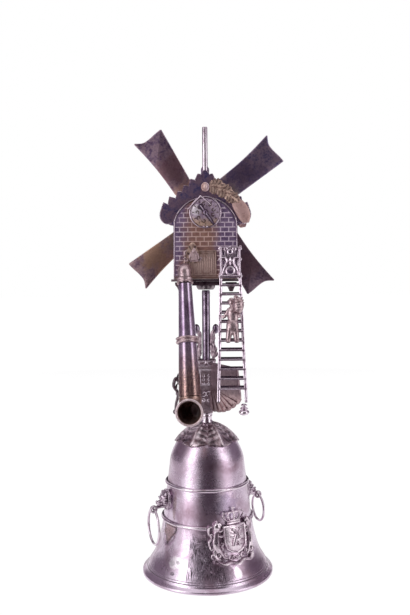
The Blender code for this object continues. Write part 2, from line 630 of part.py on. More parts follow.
def build_house():
    """Four walls of sheet, the barrel roof over them and the shaft's holes."""
    wall_foot = FLOOR_Z + GAP
    arch_r = ROOF_R - ROOF_SHEET - GAP
    spring = math.asin((SHOULDER_Z - ROOF_CENTRE_Z) / arch_r)
    gable = [(-HOUSE_HALF_WIDTH, wall_foot), (HOUSE_HALF_WIDTH, wall_foot),
             (HOUSE_HALF_WIDTH, SHOULDER_Z - GAP),
             (arch_r * math.cos(spring), SHOULDER_Z - GAP),
             *circle(0.0, ROOF_CENTRE_Z, arch_r, 17, spring, math.pi - spring, closed=False),
             (-arch_r * math.cos(spring), SHOULDER_Z - GAP), (-HOUSE_HALF_WIDTH, SHOULDER_Z - GAP)]
    bush_hole = BUSH_R + GAP
    plate("rear_wall", [gable, circle(0.0, DIAL_Z, bush_hole, 16),
                        circle(ELBOW_X, ELBOW_Z, ELBOW_BORE_R, 12)],
          HOUSE_REAR_Y, HOUSE_REAR_Y + HOUSE_SHEET, WARM_TARNISH)
    plate("front_wall", [gable, circle(0.0, FRONT_HOLE_Z, bush_hole, 16)],
          HOUSE_FRONT_Y - HOUSE_SHEET, HOUSE_FRONT_Y, WARM_TARNISH)
    for side, way in (("left", -1), ("right", 1)):
        low_x, high_x = sorted((way * (HOUSE_HALF_WIDTH - HOUSE_SHEET), way * HOUSE_HALF_WIDTH))
        block(side + "_side_wall", (low_x, HOUSE_REAR_Y + HOUSE_SHEET + GAP, wall_foot),
              (high_x, HOUSE_FRONT_Y - HOUSE_SHEET - GAP, SHOULDER_Z - GAP), WARM_TARNISH)
    roof = [*circle(0.0, ROOF_CENTRE_Z, ROOF_R, 21, ROOF_SPRING, math.pi - ROOF_SPRING, closed=False),
            *reversed(circle(0.0, ROOF_CENTRE_Z, ROOF_R - ROOF_SHEET, 21, ROOF_SPRING,
                             math.pi - ROOF_SPRING, closed=False))]
    plate("roof_sheet", [roof], HOUSE_REAR_Y, HOUSE_FRONT_Y, WARM_TARNISH)


def build_crests():
    """Leaf-toothed gable plates that stand on the roof behind each gable."""
    # Points of the right edge: degrees from the top of the roof's arch, and reach beyond the roof
    teeth = [(55.5, 6.2), (47.0, 8.0), (43.0, 5.3), (35.0, 7.2), (31.5, 5.8), (25.5, 8.1),
             (20.5, 6.9), (16.0, 10.0), (11.5, 8.9), (7.5, 11.7), (4.5, 11.3)]
    lobes = {"rear": [(80.5, 3.3), (77.5, 6.0), (71.0, 7.6), (64.0, 8.0), (56.5, 8.6)],
             "front": [(75.0, 3.2), (72.0, 5.4), (65.0, 6.6), (57.5, 7.4)]}
    finials = {"rear": [(0.0, 13.6)], "front": [(3.4, 15.6), (3.4, 18.4), (1.4, 20.4), (0.0, 21.8)]}
    lobe_foot = {"rear": 0.0, "front": -0.6 * MM}
    faces = {"rear": HOUSE_REAR_Y + CREST_SETBACK, "front": HOUSE_FRONT_Y - CREST_SETBACK - CREST_THICK}
    seat = circle(0.0, ROOF_CENTRE_Z, ROOF_R + GAP, 13, math.pi / 2, ROOF_SPRING, closed=False)
    side_x = HOUSE_HALF_WIDTH + GAP
    for side, low_y in faces.items():
        half = [*seat, (side_x, SHOULDER_Z - 0.4 * MM), (side_x, SHOULDER_Z - lobe_foot[side])]
        for degrees, proud in lobes[side] + teeth + finials[side]:
            angle = math.radians(degrees)
            reach = ROOF_R + proud * MM
            half.append((reach * math.sin(angle), ROOF_CENTRE_Z + reach * math.cos(angle)))
        plate(side + "_crest", [mirrored(half)], low_y, low_y + CREST_THICK, DARK_TARNISH)
    boss_y = faces["rear"] - GAP
    boss = turned("crest_boss", [(0.0, 0.0), (2.3 * MM, 0.0), (2.1 * MM, 0.6 * MM),
                                 (1.3 * MM, 0.9 * MM), (1.2 * MM, 1.5 * MM), (0.0, 2.0 * MM)],
                  PALE_SILVER, 16)
    boss.location = (0.0, boss_y, ROOF_TOP_Z + 4.8 * MM)
    boss.rotation_euler.x = math.pi / 2

    seat_z = ROOF_TOP_Z + GAP
    socket_top = seat_z + POLE_SOCKET_HEIGHT
    turned("pole_socket", [(0.0, seat_z), (POLE_SOCKET_R, seat_z),
                           (POLE_SOCKET_R, seat_z + 0.8 * MM), (POLE_R * 1.4, seat_z + 1.6 * MM),
                           (POLE_R * 1.4, socket_top), (0.0, socket_top)], PALE_SILVER, 16)
    foot = socket_top + GAP
    turned("ridge_pole", [(0.0, foot), (POLE_R, foot), (POLE_R, POLE_TOP_Z - 0.3 * MM),
                          (POLE_R * 0.8, POLE_TOP_Z), (0.0, POLE_TOP_Z)], PALE_SILVER, 16)


def build_dial():
    """Dial plate and its wire ring on the rear wall."""
    back = HOUSE_REAR_Y - GAP
    inner = DIAL_R - DIAL_RING_WIDTH
    plate("dial_plate", [circle(0.0, DIAL_Z, inner - GAP, 32),
                         circle(0.0, DIAL_Z, SHAFT_R + 2 * SHAFT_CLEARANCE, 16)],
          back - DIAL_THICK, back, WARM_TARNISH)
    plate("dial_ring", [circle(0.0, DIAL_Z, DIAL_R, 32), circle(0.0, DIAL_Z, inner, 32)],
          back - DIAL_THICK - 0.3 * MM, back, PALE_SILVER)


def build_rotor():
    """Windshaft, dial hand, paddle wheel, hub and four sails, which turn as one."""
    turn = Matrix.Rotation(SHAFT_TILT - math.pi / 2, 4, "X").to_quaternion()
    axis = frame_at("windshaft_axis", SHAFT_START, turn)
    bore = SHAFT_R + SHAFT_CLEARANCE
    depth = HOUSE_FRONT_Y - HOUSE_REAR_Y
    front_offset = depth / math.cos(SHAFT_TILT)
    for name, start in (("rear_shaft_bush", 0.1 * MM),
                        ("front_shaft_bush", front_offset - BUSH_LENGTH / 2 - 0.2 * MM)):
        turned(name, [(bore, start), (BUSH_R, start), (BUSH_R, start + BUSH_LENGTH),
                      (bore, start + BUSH_LENGTH)], PALE_SILVER, 16, axis, ring=True)

    hub_back = SAIL_OFFSET - SAIL_THICK / 2 - GAP - HUB_FLANGE
    groove_low = SAIL_OFFSET - SAIL_THICK / 2 - GAP
    groove_high = SAIL_OFFSET + SAIL_THICK / 2 + GAP
    hub_front = groove_high + HUB_FLANGE
    shaft_end = SAIL_OFFSET
    turned("windshaft", [(0.0, -HAND_OFFSET - HAND_THICK), (SHAFT_R, -HAND_OFFSET - HAND_THICK),
                         (SHAFT_R, shaft_end), (0.0, shaft_end)], PALE_SILVER, 16, axis)
    turned("sail_hub", [(0.0, shaft_end + GAP), (bore, shaft_end + GAP), (bore, hub_back),
                        (HUB_R, hub_back), (HUB_R, groove_low), (HUB_CORE_R, groove_low),
                        (HUB_CORE_R, groove_high), (HUB_R, groove_high), (HUB_R, hub_front),
                        (0.0, hub_front)], PALE_SILVER, 20, axis)
    boss = hub_front + GAP
    turned("hub_boss", [(0.0, boss), (3.0 * MM, boss), (2.6 * MM, boss + 1.0 * MM),
                        (1.4 * MM, boss + 1.5 * MM), (0.0, boss + 2.6 * MM)],
           PALE_SILVER, 16, axis)

    for side, (degrees, neck_width) in SAILS.items():
        build_sail(side + "_sail", math.radians(degrees), neck_width * MM, axis)
    build_hand(axis)
    build_wheel(axis)


def build_sail(name, angle, neck_width, axis):
    """One flat swallow-tailed blade in the hub's groove, hollow along its leading edge."""
    tip, neck = SAIL_TIP_R, SAIL_NECK_R
    trailing_tip = tip - SAIL_TIP_SLANT
    trailing = [(SAIL_ROOT_R, -SAIL_ROOT_WIDTH / 2), (neck, SAIL_SHIFT - neck_width / 2),
                (trailing_tip, SAIL_SHIFT - SAIL_TIP_WIDTH / 2)]
    notch = [(trailing_tip - 0.2 * MM, SAIL_SHIFT - SAIL_TIP_WIDTH * 0.30),
             (tip - SAIL_NOTCH, SAIL_SHIFT + SAIL_TIP_WIDTH * 0.02),
             (tip - SAIL_NOTCH * 0.9, SAIL_SHIFT + SAIL_TIP_WIDTH * 0.26),
             (tip, SAIL_SHIFT + SAIL_TIP_WIDTH / 2)]
    leading = []
    for step in range(1, 6):
        share = step / 6
        width = SAIL_TIP_WIDTH + (neck_width - SAIL_TIP_WIDTH) * share
        hollow = SAIL_HOLLOW * math.sin(math.pi * share)
        leading.append((tip - (tip - neck) * share, SAIL_SHIFT + width / 2 - hollow))
    leading += [(neck, SAIL_SHIFT + neck_width / 2), (SAIL_ROOT_R, SAIL_ROOT_WIDTH / 2)]
    outline = [*trailing, *notch, *leading]
    half = SAIL_THICK / 2
    sail = plate(name, [outline], -half, half, DARK_TARNISH, axis)
    # The sheet lies across the shaft: its own X points outwards and its Z follows the turn
    outwards = Vector((math.cos(angle), -math.sin(angle), 0.0))
    onwards = Vector((-math.sin(angle), -math.cos(angle), 0.0))
    basis = Matrix((outwards, onwards.cross(outwards), onwards)).transposed().to_4x4()
    sail.matrix_local = Matrix.Translation((0.0, 0.0, SAIL_OFFSET)) @ basis


def build_hand(axis):
    """A dart-shaped hand in front of the dial, fixed on the end of the windshaft."""
    tip, tail = HAND_TIP_R, HAND_TAIL_R
    half = [(0.0, -tip), (0.9 * MM, -tip + 1.2 * MM), (0.9 * MM, -1.8 * MM), (2.2 * MM, -0.6 * MM),
            (2.4 * MM, 2.0 * MM), (2.9 * MM, tail * 0.96), (0.0, tail)]
    outline = mirrored(half)
    hand = plate("dial_hand", [outline, circle(0.0, 0.0, SHAFT_R + SHAFT_CLEARANCE, 16)],
                 -HAND_THICK / 2, HAND_THICK / 2, PALE_SILVER, axis)
    # Turned so that its tip shows at the clock angle when seen from outside the rear wall
    down = Vector((math.sin(HAND_CLOCK_ANGLE), -math.cos(HAND_CLOCK_ANGLE), 0.0))
    up = -down
    across = Vector((-up.y, up.x, 0.0))
    basis = Matrix((across, up.cross(across), up)).transposed().to_4x4()
    hand.matrix_local = Matrix.Translation((0.0, 0.0, -HAND_OFFSET)) @ basis


def build_wheel(axis):
    """The little vane wheel that the blown air drives, hidden in the house."""
    bore = SHAFT_R + SHAFT_CLEARANCE
    nave = 2.1 * MM
    low, high = WHEEL_OFFSET, WHEEL_OFFSET + WHEEL_WIDTH
    outline = []
    vane_half = 0.35 * MM
    for vane in range(WHEEL_VANES):
        angle = 2 * math.pi * vane / WHEEL_VANES
        spread_in = math.asin(vane_half / nave)
        spread_out = math.asin(vane_half / WHEEL_R)
        for radius, turn in ((nave, -spread_in), (WHEEL_R, -spread_out),
                             (WHEEL_R, spread_out), (nave, spread_in)):
            outline.append((radius * math.cos(angle + turn), radius * math.sin(angle + turn)))
    wheel = plate("paddle_wheel", [outline, circle(0.0, 0.0, bore, 16)], low, high,
                  PALE_SILVER, axis)
    wheel.rotation_euler.x = math.pi / 2


def build_pipe():
    """Blow pipe: elbow on the wall, collar, tapered pipe, moulded ring and flared mouth."""
    top = Vector(PIPE_TOP)
    foot = Vector(PIPE_FOOT)
    down = (foot - top).normalized()
    elbow_end = top - down * ELBOW_DROP
    corner = elbow_end - down * ELBOW_LEG
    through_wall = Vector((ELBOW_X, HOUSE_REAR_Y + 1.0 * MM, ELBOW_Z))
    elbow = rod("pipe_elbow", through_wall, corner, ELBOW_R - 0.3 * MM, WARM_TARNISH, None, 20)
    knuckle = ball("elbow_knuckle", corner, (ELBOW_R,) * 3, WARM_TARNISH, None, 20)
    leg = rod("elbow_leg", corner, elbow_end, ELBOW_R - 0.05 * MM, WARM_TARNISH, None, 20)
    wall_cut = block("elbow_wall_cut", (2 * ELBOW_X, HOUSE_REAR_Y - GAP, ELBOW_Z - 3 * ELBOW_R),
                     (0.0, HOUSE_REAR_Y + 2 * ELBOW_R, ELBOW_Z + 3 * ELBOW_R), WARM_TARNISH)
    bore_start = through_wall + (through_wall - corner).normalized() * 2.0 * MM
    bore_end = elbow_end + down * 2.0 * MM
    bore_in = rod("elbow_bore_in", bore_start, corner, ELBOW_BORE_R, WARM_TARNISH, None, 14)
    bore_turn = ball("elbow_bore_turn", corner, (ELBOW_BORE_R + 0.05 * MM,) * 3, WARM_TARNISH, None, 14)
    bore_out = rod("elbow_bore_out", corner, bore_end, ELBOW_BORE_R, WARM_TARNISH, None, 14)
    for tool in (knuckle, leg):
        boolean(elbow, tool, "UNION")
    for tool in (wall_cut, bore_in, bore_turn, bore_out):
        boolean(elbow, tool, "DIFFERENCE")

    turn = down.to_track_quat("Z", "Y")
    run = frame_at("pipe_axis", top, turn)
    length = (foot - top).length

    def pipe_radius(along):
        return PIPE_TOP_R + (PIPE_FOOT_R - PIPE_TOP_R) * along / length

    collar_r = PIPE_TOP_R + 0.8 * MM
    turned("pipe_collar", [(ELBOW_BORE_R, -3.0 * MM), (collar_r - 0.4 * MM, -3.0 * MM),
                           (collar_r, -2.4 * MM), (collar_r, -0.9 * MM),
                           (collar_r - 0.4 * MM, -GAP), (ELBOW_BORE_R, -GAP)],
           PALE_SILVER, 20, run, ring=True)
    turned("blow_pipe", [(PIPE_TOP_R - PIPE_WALL, 0.0), (PIPE_TOP_R, 0.0), (PIPE_FOOT_R, length),
                         (PIPE_FOOT_R - PIPE_WALL, length)], WARM_TARNISH, 24, run, ring=True)
    ring_mid = PIPE_RING_SHARE * length
    half = PIPE_RING_HEIGHT / 2
    ring_loop = [(pipe_radius(ring_mid - half) + GAP, ring_mid - half),
                 (pipe_radius(ring_mid) + GAP + 0.5 * PIPE_RING_PROUD, ring_mid - half),
                 (pipe_radius(ring_mid) + GAP + PIPE_RING_PROUD, ring_mid - 0.4 * half),
                 (pipe_radius(ring_mid) + GAP + PIPE_RING_PROUD, ring_mid + 0.4 * half),
                 (pipe_radius(ring_mid) + GAP + 0.5 * PIPE_RING_PROUD, ring_mid + half),
                 (pipe_radius(ring_mid + half) + GAP, ring_mid + half)]
    turned("pipe_ring", ring_loop, PALE_SILVER, 24, run, ring=True)

    begin = foot + down * GAP
    out = Vector(MOUTH_WAY).normalized()
    swing = down.angle(out)
    across = (out - down * math.cos(swing)).normalized()
    bend_from = begin + down * PIPE_STUB
    path = [begin]
    bend_steps = 5
    for step in range(bend_steps + 1):
        turned_by = swing * step / bend_steps
        path.append(bend_from + down * PIPE_BEND_R * math.sin(turned_by)
                    + across * PIPE_BEND_R * (1.0 - math.cos(turned_by)))
    bend_end = path[-1]
    flare_steps = 4
    for step in range(1, flare_steps + 1):
        path.append(bend_end + out * MOUTH_LENGTH * step / flare_steps)
    flare = [0.0] * (bend_steps + 2) + [(step / flare_steps) ** 1.5 for step in range(1, flare_steps + 1)]
    bore_foot_r = PIPE_FOOT_R - PIPE_WALL
    outer = [PIPE_FOOT_R + (MOUTH_R - PIPE_FOOT_R) * share for share in flare]
    inner = [bore_foot_r + (MOUTH_BORE_R - bore_foot_r) * share for share in flare]
    horn = swept("pipe_mouth", path, outer, WARM_TARNISH, None, 4)
    bore_path = [begin - down * 2.0 * MM, *path, path[-1] + out * 2.0 * MM]
    bore = swept("mouth_bore", bore_path, [inner[0], *inner, inner[-1]], WARM_TARNISH, None, 4)
    boolean(horn, bore, "DIFFERENCE")

    leaf = in_mm([(0.0, 0.0), (2.3, 0.6), (3.6, 2.6), (2.7, 3.8), (4.2, 5.8), (2.7, 7.0),
                  (3.0, 8.8), (1.3, 9.8), (0.0, 11.6)])
    base = plate("pipe_leaf", [mirrored(leaf)], -0.9 * MM, 0.0, WARM_TARNISH)
    base.location = (ELBOW_X + 3.0 * MM, HOUSE_REAR_Y - GAP, ELBOW_Z + ELBOW_R + GAP)

    jet = smooth_through([
        (ELBOW_X, HOUSE_REAR_Y + HOUSE_SHEET + GAP, ELBOW_Z),
        (ELBOW_X, HOUSE_REAR_Y + 5 * MM, ELBOW_Z + 0.3 * MM),
        (ELBOW_X + 0.5 * MM, -5.0 * MM, ELBOW_Z + 8 * MM),
        (-4.3 * MM, -0.8 * MM, DIAL_Z - 6.2 * MM)], 4)
    tube = swept("jet_tube", jet, [1.3 * MM] * len(jet), PALE_SILVER, None, 1)
    last = Vector(jet[-1]) + (Vector(jet[-1]) - Vector(jet[-2])).normalized() * 2.0 * MM
    first = Vector(jet[0]) - Vector((0.0, 2.0 * MM, 0.0))
    channel = swept("jet_channel", [tuple(first), *jet, tuple(last)], [0.7 * MM] * (len(jet) + 2),
                    PALE_SILVER, None, 1)
    boolean(tube, channel, "DIFFERENCE")


def build_ladder():
    """Tapered ladder with square treads, its pierced gate and the finial at its foot."""
    top = Vector(LADDER_TOP)
    foot = Vector(LADDER_FOOT)
    rise = top - foot
    tilt = math.atan2(rise.z, rise.y) - math.pi / 2
    run = frame_at("ladder_frame", foot, Matrix.Rotation(tilt, 4, "X").to_quaternion())
    length = rise.length

    def half_width(along):
        return LADDER_FOOT_HALF + (LADDER_TOP_HALF - LADDER_FOOT_HALF) * along / length

    bm = bmesh.new()
    for way in (-1, 1):
        middle = Matrix.Translation((0.0, 0.0, length / 2))
        made = bmesh.ops.create_cube(bm, size=1.0, matrix=middle @ Matrix.Diagonal(
            (RAIL_WIDTH, RAIL_DEPTH, length, 1.0)))
        for vert in made["verts"]:
            vert.co.x += way * (half_width(vert.co.z) - RAIL_WIDTH / 2)
    ladder = finish("ladder", bm, PALE_SILVER, run)
    bm = bmesh.new()
    for index in range(TREAD_COUNT):
        along = TREAD_FIRST + (TREAD_LAST - TREAD_FIRST) * index / (TREAD_COUNT - 1)
        width = 2 * half_width(along) - RAIL_WIDTH
        place = Matrix.Translation((0.0, 0.0, along))
        bmesh.ops.create_cube(bm, size=1.0, matrix=place @ Matrix.Diagonal(
            (width, TREAD_DEPTH, TREAD_THICK, 1.0)))
    treads = finish("ladder_treads", bm, PALE_SILVER, run)
    boolean(ladder, treads, "UNION")

    front = -RAIL_DEPTH / 2 - GAP
    wide = GATE_HALF_WIDTH
    low, high = GATE_FOOT, GATE_FOOT + GATE_HEIGHT
    frame = mirrored([(0.0, low), (wide, low), (wide, low + 1.2 * MM), (wide - 0.5 * MM, high - 2 * MM),
                      (wide, high - 1.2 * MM), (wide - 0.6 * MM, high), (1.6 * MM, high - 0.8 * MM),
                      (0.0, high)])
    lower_hole = circle(0.0, low + 2.9 * MM, 1.6 * MM, 12)
    upper_hole = circle(0.0, high - 3.0 * MM, 0.8 * MM, 8)
    side_slot = in_mm([(2.6, 2.4), (3.7, 1.8), (3.6, 8.4), (2.2, 7.2), (2.9, 5.2)])
    top_slot = in_mm([(2.2, 9.6), (3.5, 9.4), (3.4, 12.6), (2.5, 13.2)])
    slots = [[(way * x, low + z) for x, z in slot] for slot in (side_slot, top_slot) for way in (-1, 1)]
    heart = in_mm([(0.0, 5.6), (1.1, 7.0), (0.8, 8.6), (0.0, 8.0)])
    star = [(x, low + z) for x, z in mirrored(heart)]
    plate("ladder_gate", [frame, lower_hole, upper_hole, star, *slots], front - GATE_THICK, front,
          PALE_SILVER, run)

    knob_x = LADDER_FOOT_HALF - RAIL_WIDTH / 2 - FINIAL_INSET
    knob_top = foot + Vector((knob_x, 0.0, -GAP - 0.4 * MM))
    finial = turned("ladder_finial", [
        (0.0, 0.0), (1.0 * MM, 0.0), (1.5 * MM, -0.5 * MM), (0.9 * MM, -1.0 * MM),
        (1.9 * MM, -1.9 * MM), (1.9 * MM, -2.2 * MM), (1.2 * MM, -2.5 * MM),
        *[(FINIAL_BALL_R * math.sin(math.radians(a)),
           -2.4 * MM - FINIAL_BALL_HEIGHT * (1 - math.cos(math.radians(a))) / 2)
          for a in (45, 70, 90, 112, 135, 157)],
        (0.0, -2.4 * MM - FINIAL_BALL_HEIGHT)], PALE_SILVER, 12)
    finial.location = knob_top
    return run


def build_miller(run):
    """A small cast figure who climbs the ladder with a sack on the shoulder."""
    def spot(x, y, z):
        return (x * MM, -RAIL_DEPTH / 2 + y * MM, MILLER_RISE + z * MM)

    body = ball("miller", spot(0.8, -3.0, 1.0), (2.8 * MM, 2.0 * MM, 4.6 * MM), WARM_TARNISH, run, 14)
    hips = ball("miller_hips", spot(0.5, -3.1, -4.4), (3.0 * MM, 2.1 * MM, 3.4 * MM), WARM_TARNISH, run)
    head = ball("miller_head", spot(0.2, -2.6, 6.8), (1.6 * MM, 1.6 * MM, 1.9 * MM), WARM_TARNISH, run)
    parts = {"hips": hips, "head": head}
    limbs = {
        "left_leg": (spot(-0.8, -3.1, -6.0), spot(-1.6, -2.6, -11.4), 1.3),
        "right_leg": (spot(1.7, -3.1, -6.0), spot(2.4, -2.6, -11.4), 1.3),
        "left_arm": (spot(-0.8, -2.9, 3.4), spot(-3.6, -1.6, -0.4), 0.75),
        "left_hand": (spot(-3.4, -1.7, -0.6), spot(-4.6, -1.5, 0.6), 0.8),
        "right_arm": (spot(2.2, -3.2, 3.0), spot(4.0, -4.2, -0.6), 0.8),
    }
    for name, (start, end, radius) in limbs.items():
        parts[name] = rod("miller_" + name, start, end, radius * MM, WARM_TARNISH, run, 8)
    for part in parts.values():
        boolean(body, part, "UNION")
    sack = ball("sack", spot(3.3, -5.4, 5.0), (2.7 * MM, 2.4 * MM, 4.0 * MM), PALE_SILVER, run, 14)
    clear = ball("sack_clear", spot(0.8, -3.0, 1.0), (3.1 * MM, 2.3 * MM, 4.9 * MM), PALE_SILVER, run, 14)
    head = ball("sack_head_clear", spot(0.2, -2.6, 6.8), (1.9 * MM, 1.9 * MM, 2.2 * MM), PALE_SILVER, run)
    arm = rod("sack_arm_clear", spot(2.2, -3.2, 3.6), spot(4.0, -4.2, -0.9), 1.1 * MM, PALE_SILVER, run, 8)
    for tool in (clear, head, arm):
        boolean(sack, tool, "DIFFERENCE")


def build_brackets():
    """Shell bracket to the ladder's foot and scroll bracket to the blow pipe."""
    stem_side = PEDESTAL_TOP_HALF + 0.4 * MM
    wing_top = PEDESTAL_TOP_Z - WING_DROP
    wing_foot = wing_top - WING_HEIGHT
    root = stem_side + 2 * MM
    head_z = PEDESTAL_TOP_Z - WING_HEAD_DROP
    cap_side = stem_side + 1.2 * MM
    shell = [(cap_side, head_z), (cap_side, wing_top), (stem_side, wing_top),
             (stem_side, wing_foot + 1.8 * MM), (root, wing_foot)]
    for lobe in range(WING_LOBES):
        for part in (0.25, 0.75, 1.0):
            share = (lobe + part) / WING_LOBES
            bulge = 0.5 * MM if part < 1.0 else -0.2 * MM
            shell.append((root + (WING_REACH - root) * share,
                          wing_foot + 0.79 * WING_HEIGHT * share ** 2.2 - bulge))
    shell += [(WING_REACH, wing_top), (WING_HEAD_REACH, head_z)]
    wing = plate("shell_bracket", [shell], -WING_THICK / 2, WING_THICK / 2, WARM_TARNISH)
    wing.rotation_euler.z = WING_AZIMUTH

    # The scroll leaves the stem, rises behind the pipe and ends in a drop with a ball
    level = PEDESTAL_TOP_Z - SCROLL_DROP
    turns = in_mm([(-4.0, -4.2, 0.0), (-6.4, -12.0, -2.4), (-9.6, -20.5, 0.0), (-12.4, -25.8, 6.5),
                   (-14.4, -27.2, 9.6), (-15.6, -26.6, 6.0), (-13.6, -26.0, 2.2),
                   (-14.6, -25.8, -3.0), (-14.8, -26.0, -6.4)])
    path = smooth_through([(x, y, level + z) for x, y, z in turns], 2)
    count = len(path)
    widths = [SCROLL_R * (1.0 - 0.4 * i / (count - 1)) for i in range(count)]
    scroll = swept("scroll_bracket", path, widths, WARM_TARNISH, None, 1)
    knob = ball("scroll_ball", path[-1], (SCROLL_BALL_R,) * 3, WARM_TARNISH)
    boolean(scroll, knob, "UNION")


def build_cup():
    clear_scene()
    build_bell()
    build_arms()
    for side, sizes in MASKS.items():
        build_mask(side, **sizes)
    build_calyx()
    build_stem()
    build_floor()
    build_house()
    build_crests()
    build_dial()
    build_rotor()
    build_pipe()
    run = build_ladder()
    build_miller(run)
    build_brackets()
    for obj in bpy.data.objects:
        if obj.parent is None:
            obj.location.y += RIM_MIDDLE_Y


build_cup()
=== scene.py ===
"""Finish of a silver windmill wager cup: its metal, its chasing and the studio around it.

Every piece is drawn about the middle of the cup's rim, as the part's solids are, and is
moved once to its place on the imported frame. Lengths in the drawing are millimetres.
"""
import math

import bmesh
import bpy
from mathutils import Matrix, Vector


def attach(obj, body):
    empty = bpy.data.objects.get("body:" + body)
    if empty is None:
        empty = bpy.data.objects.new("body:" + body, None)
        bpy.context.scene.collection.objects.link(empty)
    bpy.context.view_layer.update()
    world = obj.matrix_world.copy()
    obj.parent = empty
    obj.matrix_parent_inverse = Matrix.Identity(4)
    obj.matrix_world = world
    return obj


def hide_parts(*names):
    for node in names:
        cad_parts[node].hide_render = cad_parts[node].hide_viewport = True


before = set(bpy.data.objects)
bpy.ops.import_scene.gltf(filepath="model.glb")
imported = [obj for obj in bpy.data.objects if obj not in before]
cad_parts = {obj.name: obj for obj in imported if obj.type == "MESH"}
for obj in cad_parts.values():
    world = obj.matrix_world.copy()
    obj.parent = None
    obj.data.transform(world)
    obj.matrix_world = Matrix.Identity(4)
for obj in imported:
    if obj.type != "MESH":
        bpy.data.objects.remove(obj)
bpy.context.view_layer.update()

# The photograph's camera: level, a little above the middle of the cup and about 37 cm from
# its axis. The lens and the shift frame the cup in an upright picture.
MM = 0.001
RIM_MIDDLE = Vector((0.0, 7.0, 0.0)) * MM
PHOTO_HEIGHT_PX = 615
FOCAL_PX = 722.0
HORIZON_PX = 280.0
CAMERA_PLACE = Vector((-0.4, -369.5, 147.2)) * MM + RIM_MIDDLE
CAMERA_ROLL = math.radians(-0.40)


def in_scene(name, data):
    """A new object of the scene for a camera, a lamp or a mesh."""
    thing = bpy.data.objects.new(name, data)
    bpy.context.scene.collection.objects.link(thing)
    return thing


lens = bpy.data.cameras.new("photo_camera")
lens.sensor_fit = "VERTICAL"
lens.sensor_height = 36.0
lens.lens = FOCAL_PX / PHOTO_HEIGHT_PX * lens.sensor_height
lens.shift_y = (HORIZON_PX - PHOTO_HEIGHT_PX / 2) / PHOTO_HEIGHT_PX
lens.clip_start = 0.01
camera = in_scene("photo_camera", lens)
camera.matrix_world = (Matrix.Translation(CAMERA_PLACE) @ Matrix.Rotation(math.pi / 2, 4, "X")
                       @ Matrix.Rotation(CAMERA_ROLL, 4, "Z"))
bpy.context.scene.camera = camera
bpy.context.scene.view_settings.view_transform = "Standard"


# The studio: a pale floor, a white surround, two tall soft boxes before the cup and grey
# cards beside it. The metal has no colour of its own without them: the dark card behind
# the camera gives the bell its dark middle between the two bright streaks.
class Reading:
    """A number or a colour in a material's nodes that takes part in sums as a number does."""

    def __init__(self, finish, socket):
        self.finish = finish
        self.socket = socket

    def worked(self, operation, *values):
        return self.finish.node("ShaderNodeMath", {"operation": operation}, dict(enumerate(values)))

    def __add__(self, other):
        return self.worked("ADD", self, other)

    def __radd__(self, other):
        return self.worked("ADD", other, self)

    def __sub__(self, other):
        return self.worked("SUBTRACT", self, other)

    def __rsub__(self, other):
        return self.worked("SUBTRACT", other, self)

    def __mul__(self, other):
        return self.worked("MULTIPLY", self, other)

    def __rmul__(self, other):
        return self.worked("MULTIPLY", other, self)

    def __truediv__(self, other):
        return self.worked("DIVIDE", self, other)

    def __abs__(self):
        return self.worked("ABSOLUTE", self)

    def __lt__(self, other):
        return self.worked("LESS_THAN", self, other)

    def __gt__(self, other):
        return self.worked("GREATER_THAN", self, other)


class Finish:
    """The nodes of one material."""

    def __init__(self, name):
        self.material = bpy.data.materials.new(name)
        self.material.use_nodes = True
        self.tree = self.material.node_tree
        self.shader = self.tree.nodes["Principled BSDF"]

    def node(self, kind, settings, inputs, output=0):
        """Adds a node: its settings first, then the values or links of its sockets."""
        made = self.tree.nodes.new(kind)
        for key, value in settings.items():
            if key == "stops":
                elements = made.color_ramp.elements
                elements.remove(elements[1])
                elements[0].position = value[0][0]
                for position, _ in value[1:]:
                    elements.new(position)
                for element, (_, colour) in zip(elements, value):
                    element.color = (*colour, 1.0)
            else:
                setattr(made, key, value)
        for key, value in inputs.items():
            self.put(made.inputs[key], value)
        return Reading(self, made.outputs[output])

    def put(self, socket, value):
        if isinstance(value, Reading):
            self.tree.links.new(value.socket, socket)
        elif socket.type == "RGBA":
            socket.default_value = (*value, 1.0)
        else:
            socket.default_value = value

    def blend(self, share, first, second):
        """A colour between two, mixed by a share from 0 to 1."""
        return self.node("ShaderNodeMix", {"data_type": "RGBA"}, {0: share, 6: first, 7: second}, 2)

    def spread(self, value, low, high):
        """0 below the low value and 1 above the high one, with a soft step between."""
        return self.node("ShaderNodeMapRange", {"interpolation_type": "SMOOTHSTEP"},
                         {0: value, 1: low, 2: high})

    def within(self, value, low, high):
        """1 below the low value and 0 above the high one, with a soft step between."""
        return 1.0 - self.spread(value, low, high)

    def vector_maths(self, operation, first, second):
        return self.node("ShaderNodeVectorMath", {"operation": operation}, {0: first, 1: second})

    def in_millimetres(self):
        """A point of the piece in the drawing's millimetres, from the middle of the rim."""
        point = self.node("ShaderNodeTexCoord", {}, {}, 3)
        return self.vector_maths("MULTIPLY", self.vector_maths("SUBTRACT", point, RIM_MIDDLE),
                                 (1 / MM,) * 3)

    def parts(self, point):
        """The three numbers of a point."""
        return [self.node("ShaderNodeSeparateXYZ", {}, {0: point}, axis) for axis in range(3)]

    def joined(self, x, y, z=0.0):
        """A point from three numbers."""
        return self.node("ShaderNodeCombineXYZ", {}, {0: x, 1: y, 2: z})

    def stretched(self, point, x, y, z):
        return self.vector_maths("MULTIPLY", point, (x, y, z))

    def noise(self, point, scale, detail=3.0, roughness=0.55, distortion=0.0):
        return self.node("ShaderNodeTexNoise", {}, {
            "Vector": point, "Scale": scale, "Detail": detail, "Roughness": roughness,
            "Distortion": distortion})

    def bump(self, height, depth):
        """A normal for a height of 0 to 1 that stands for a depth in millimetres."""
        return self.node("ShaderNodeBump", {}, {"Strength": 1.0, "Distance": depth * MM,
                                                "Height": height})


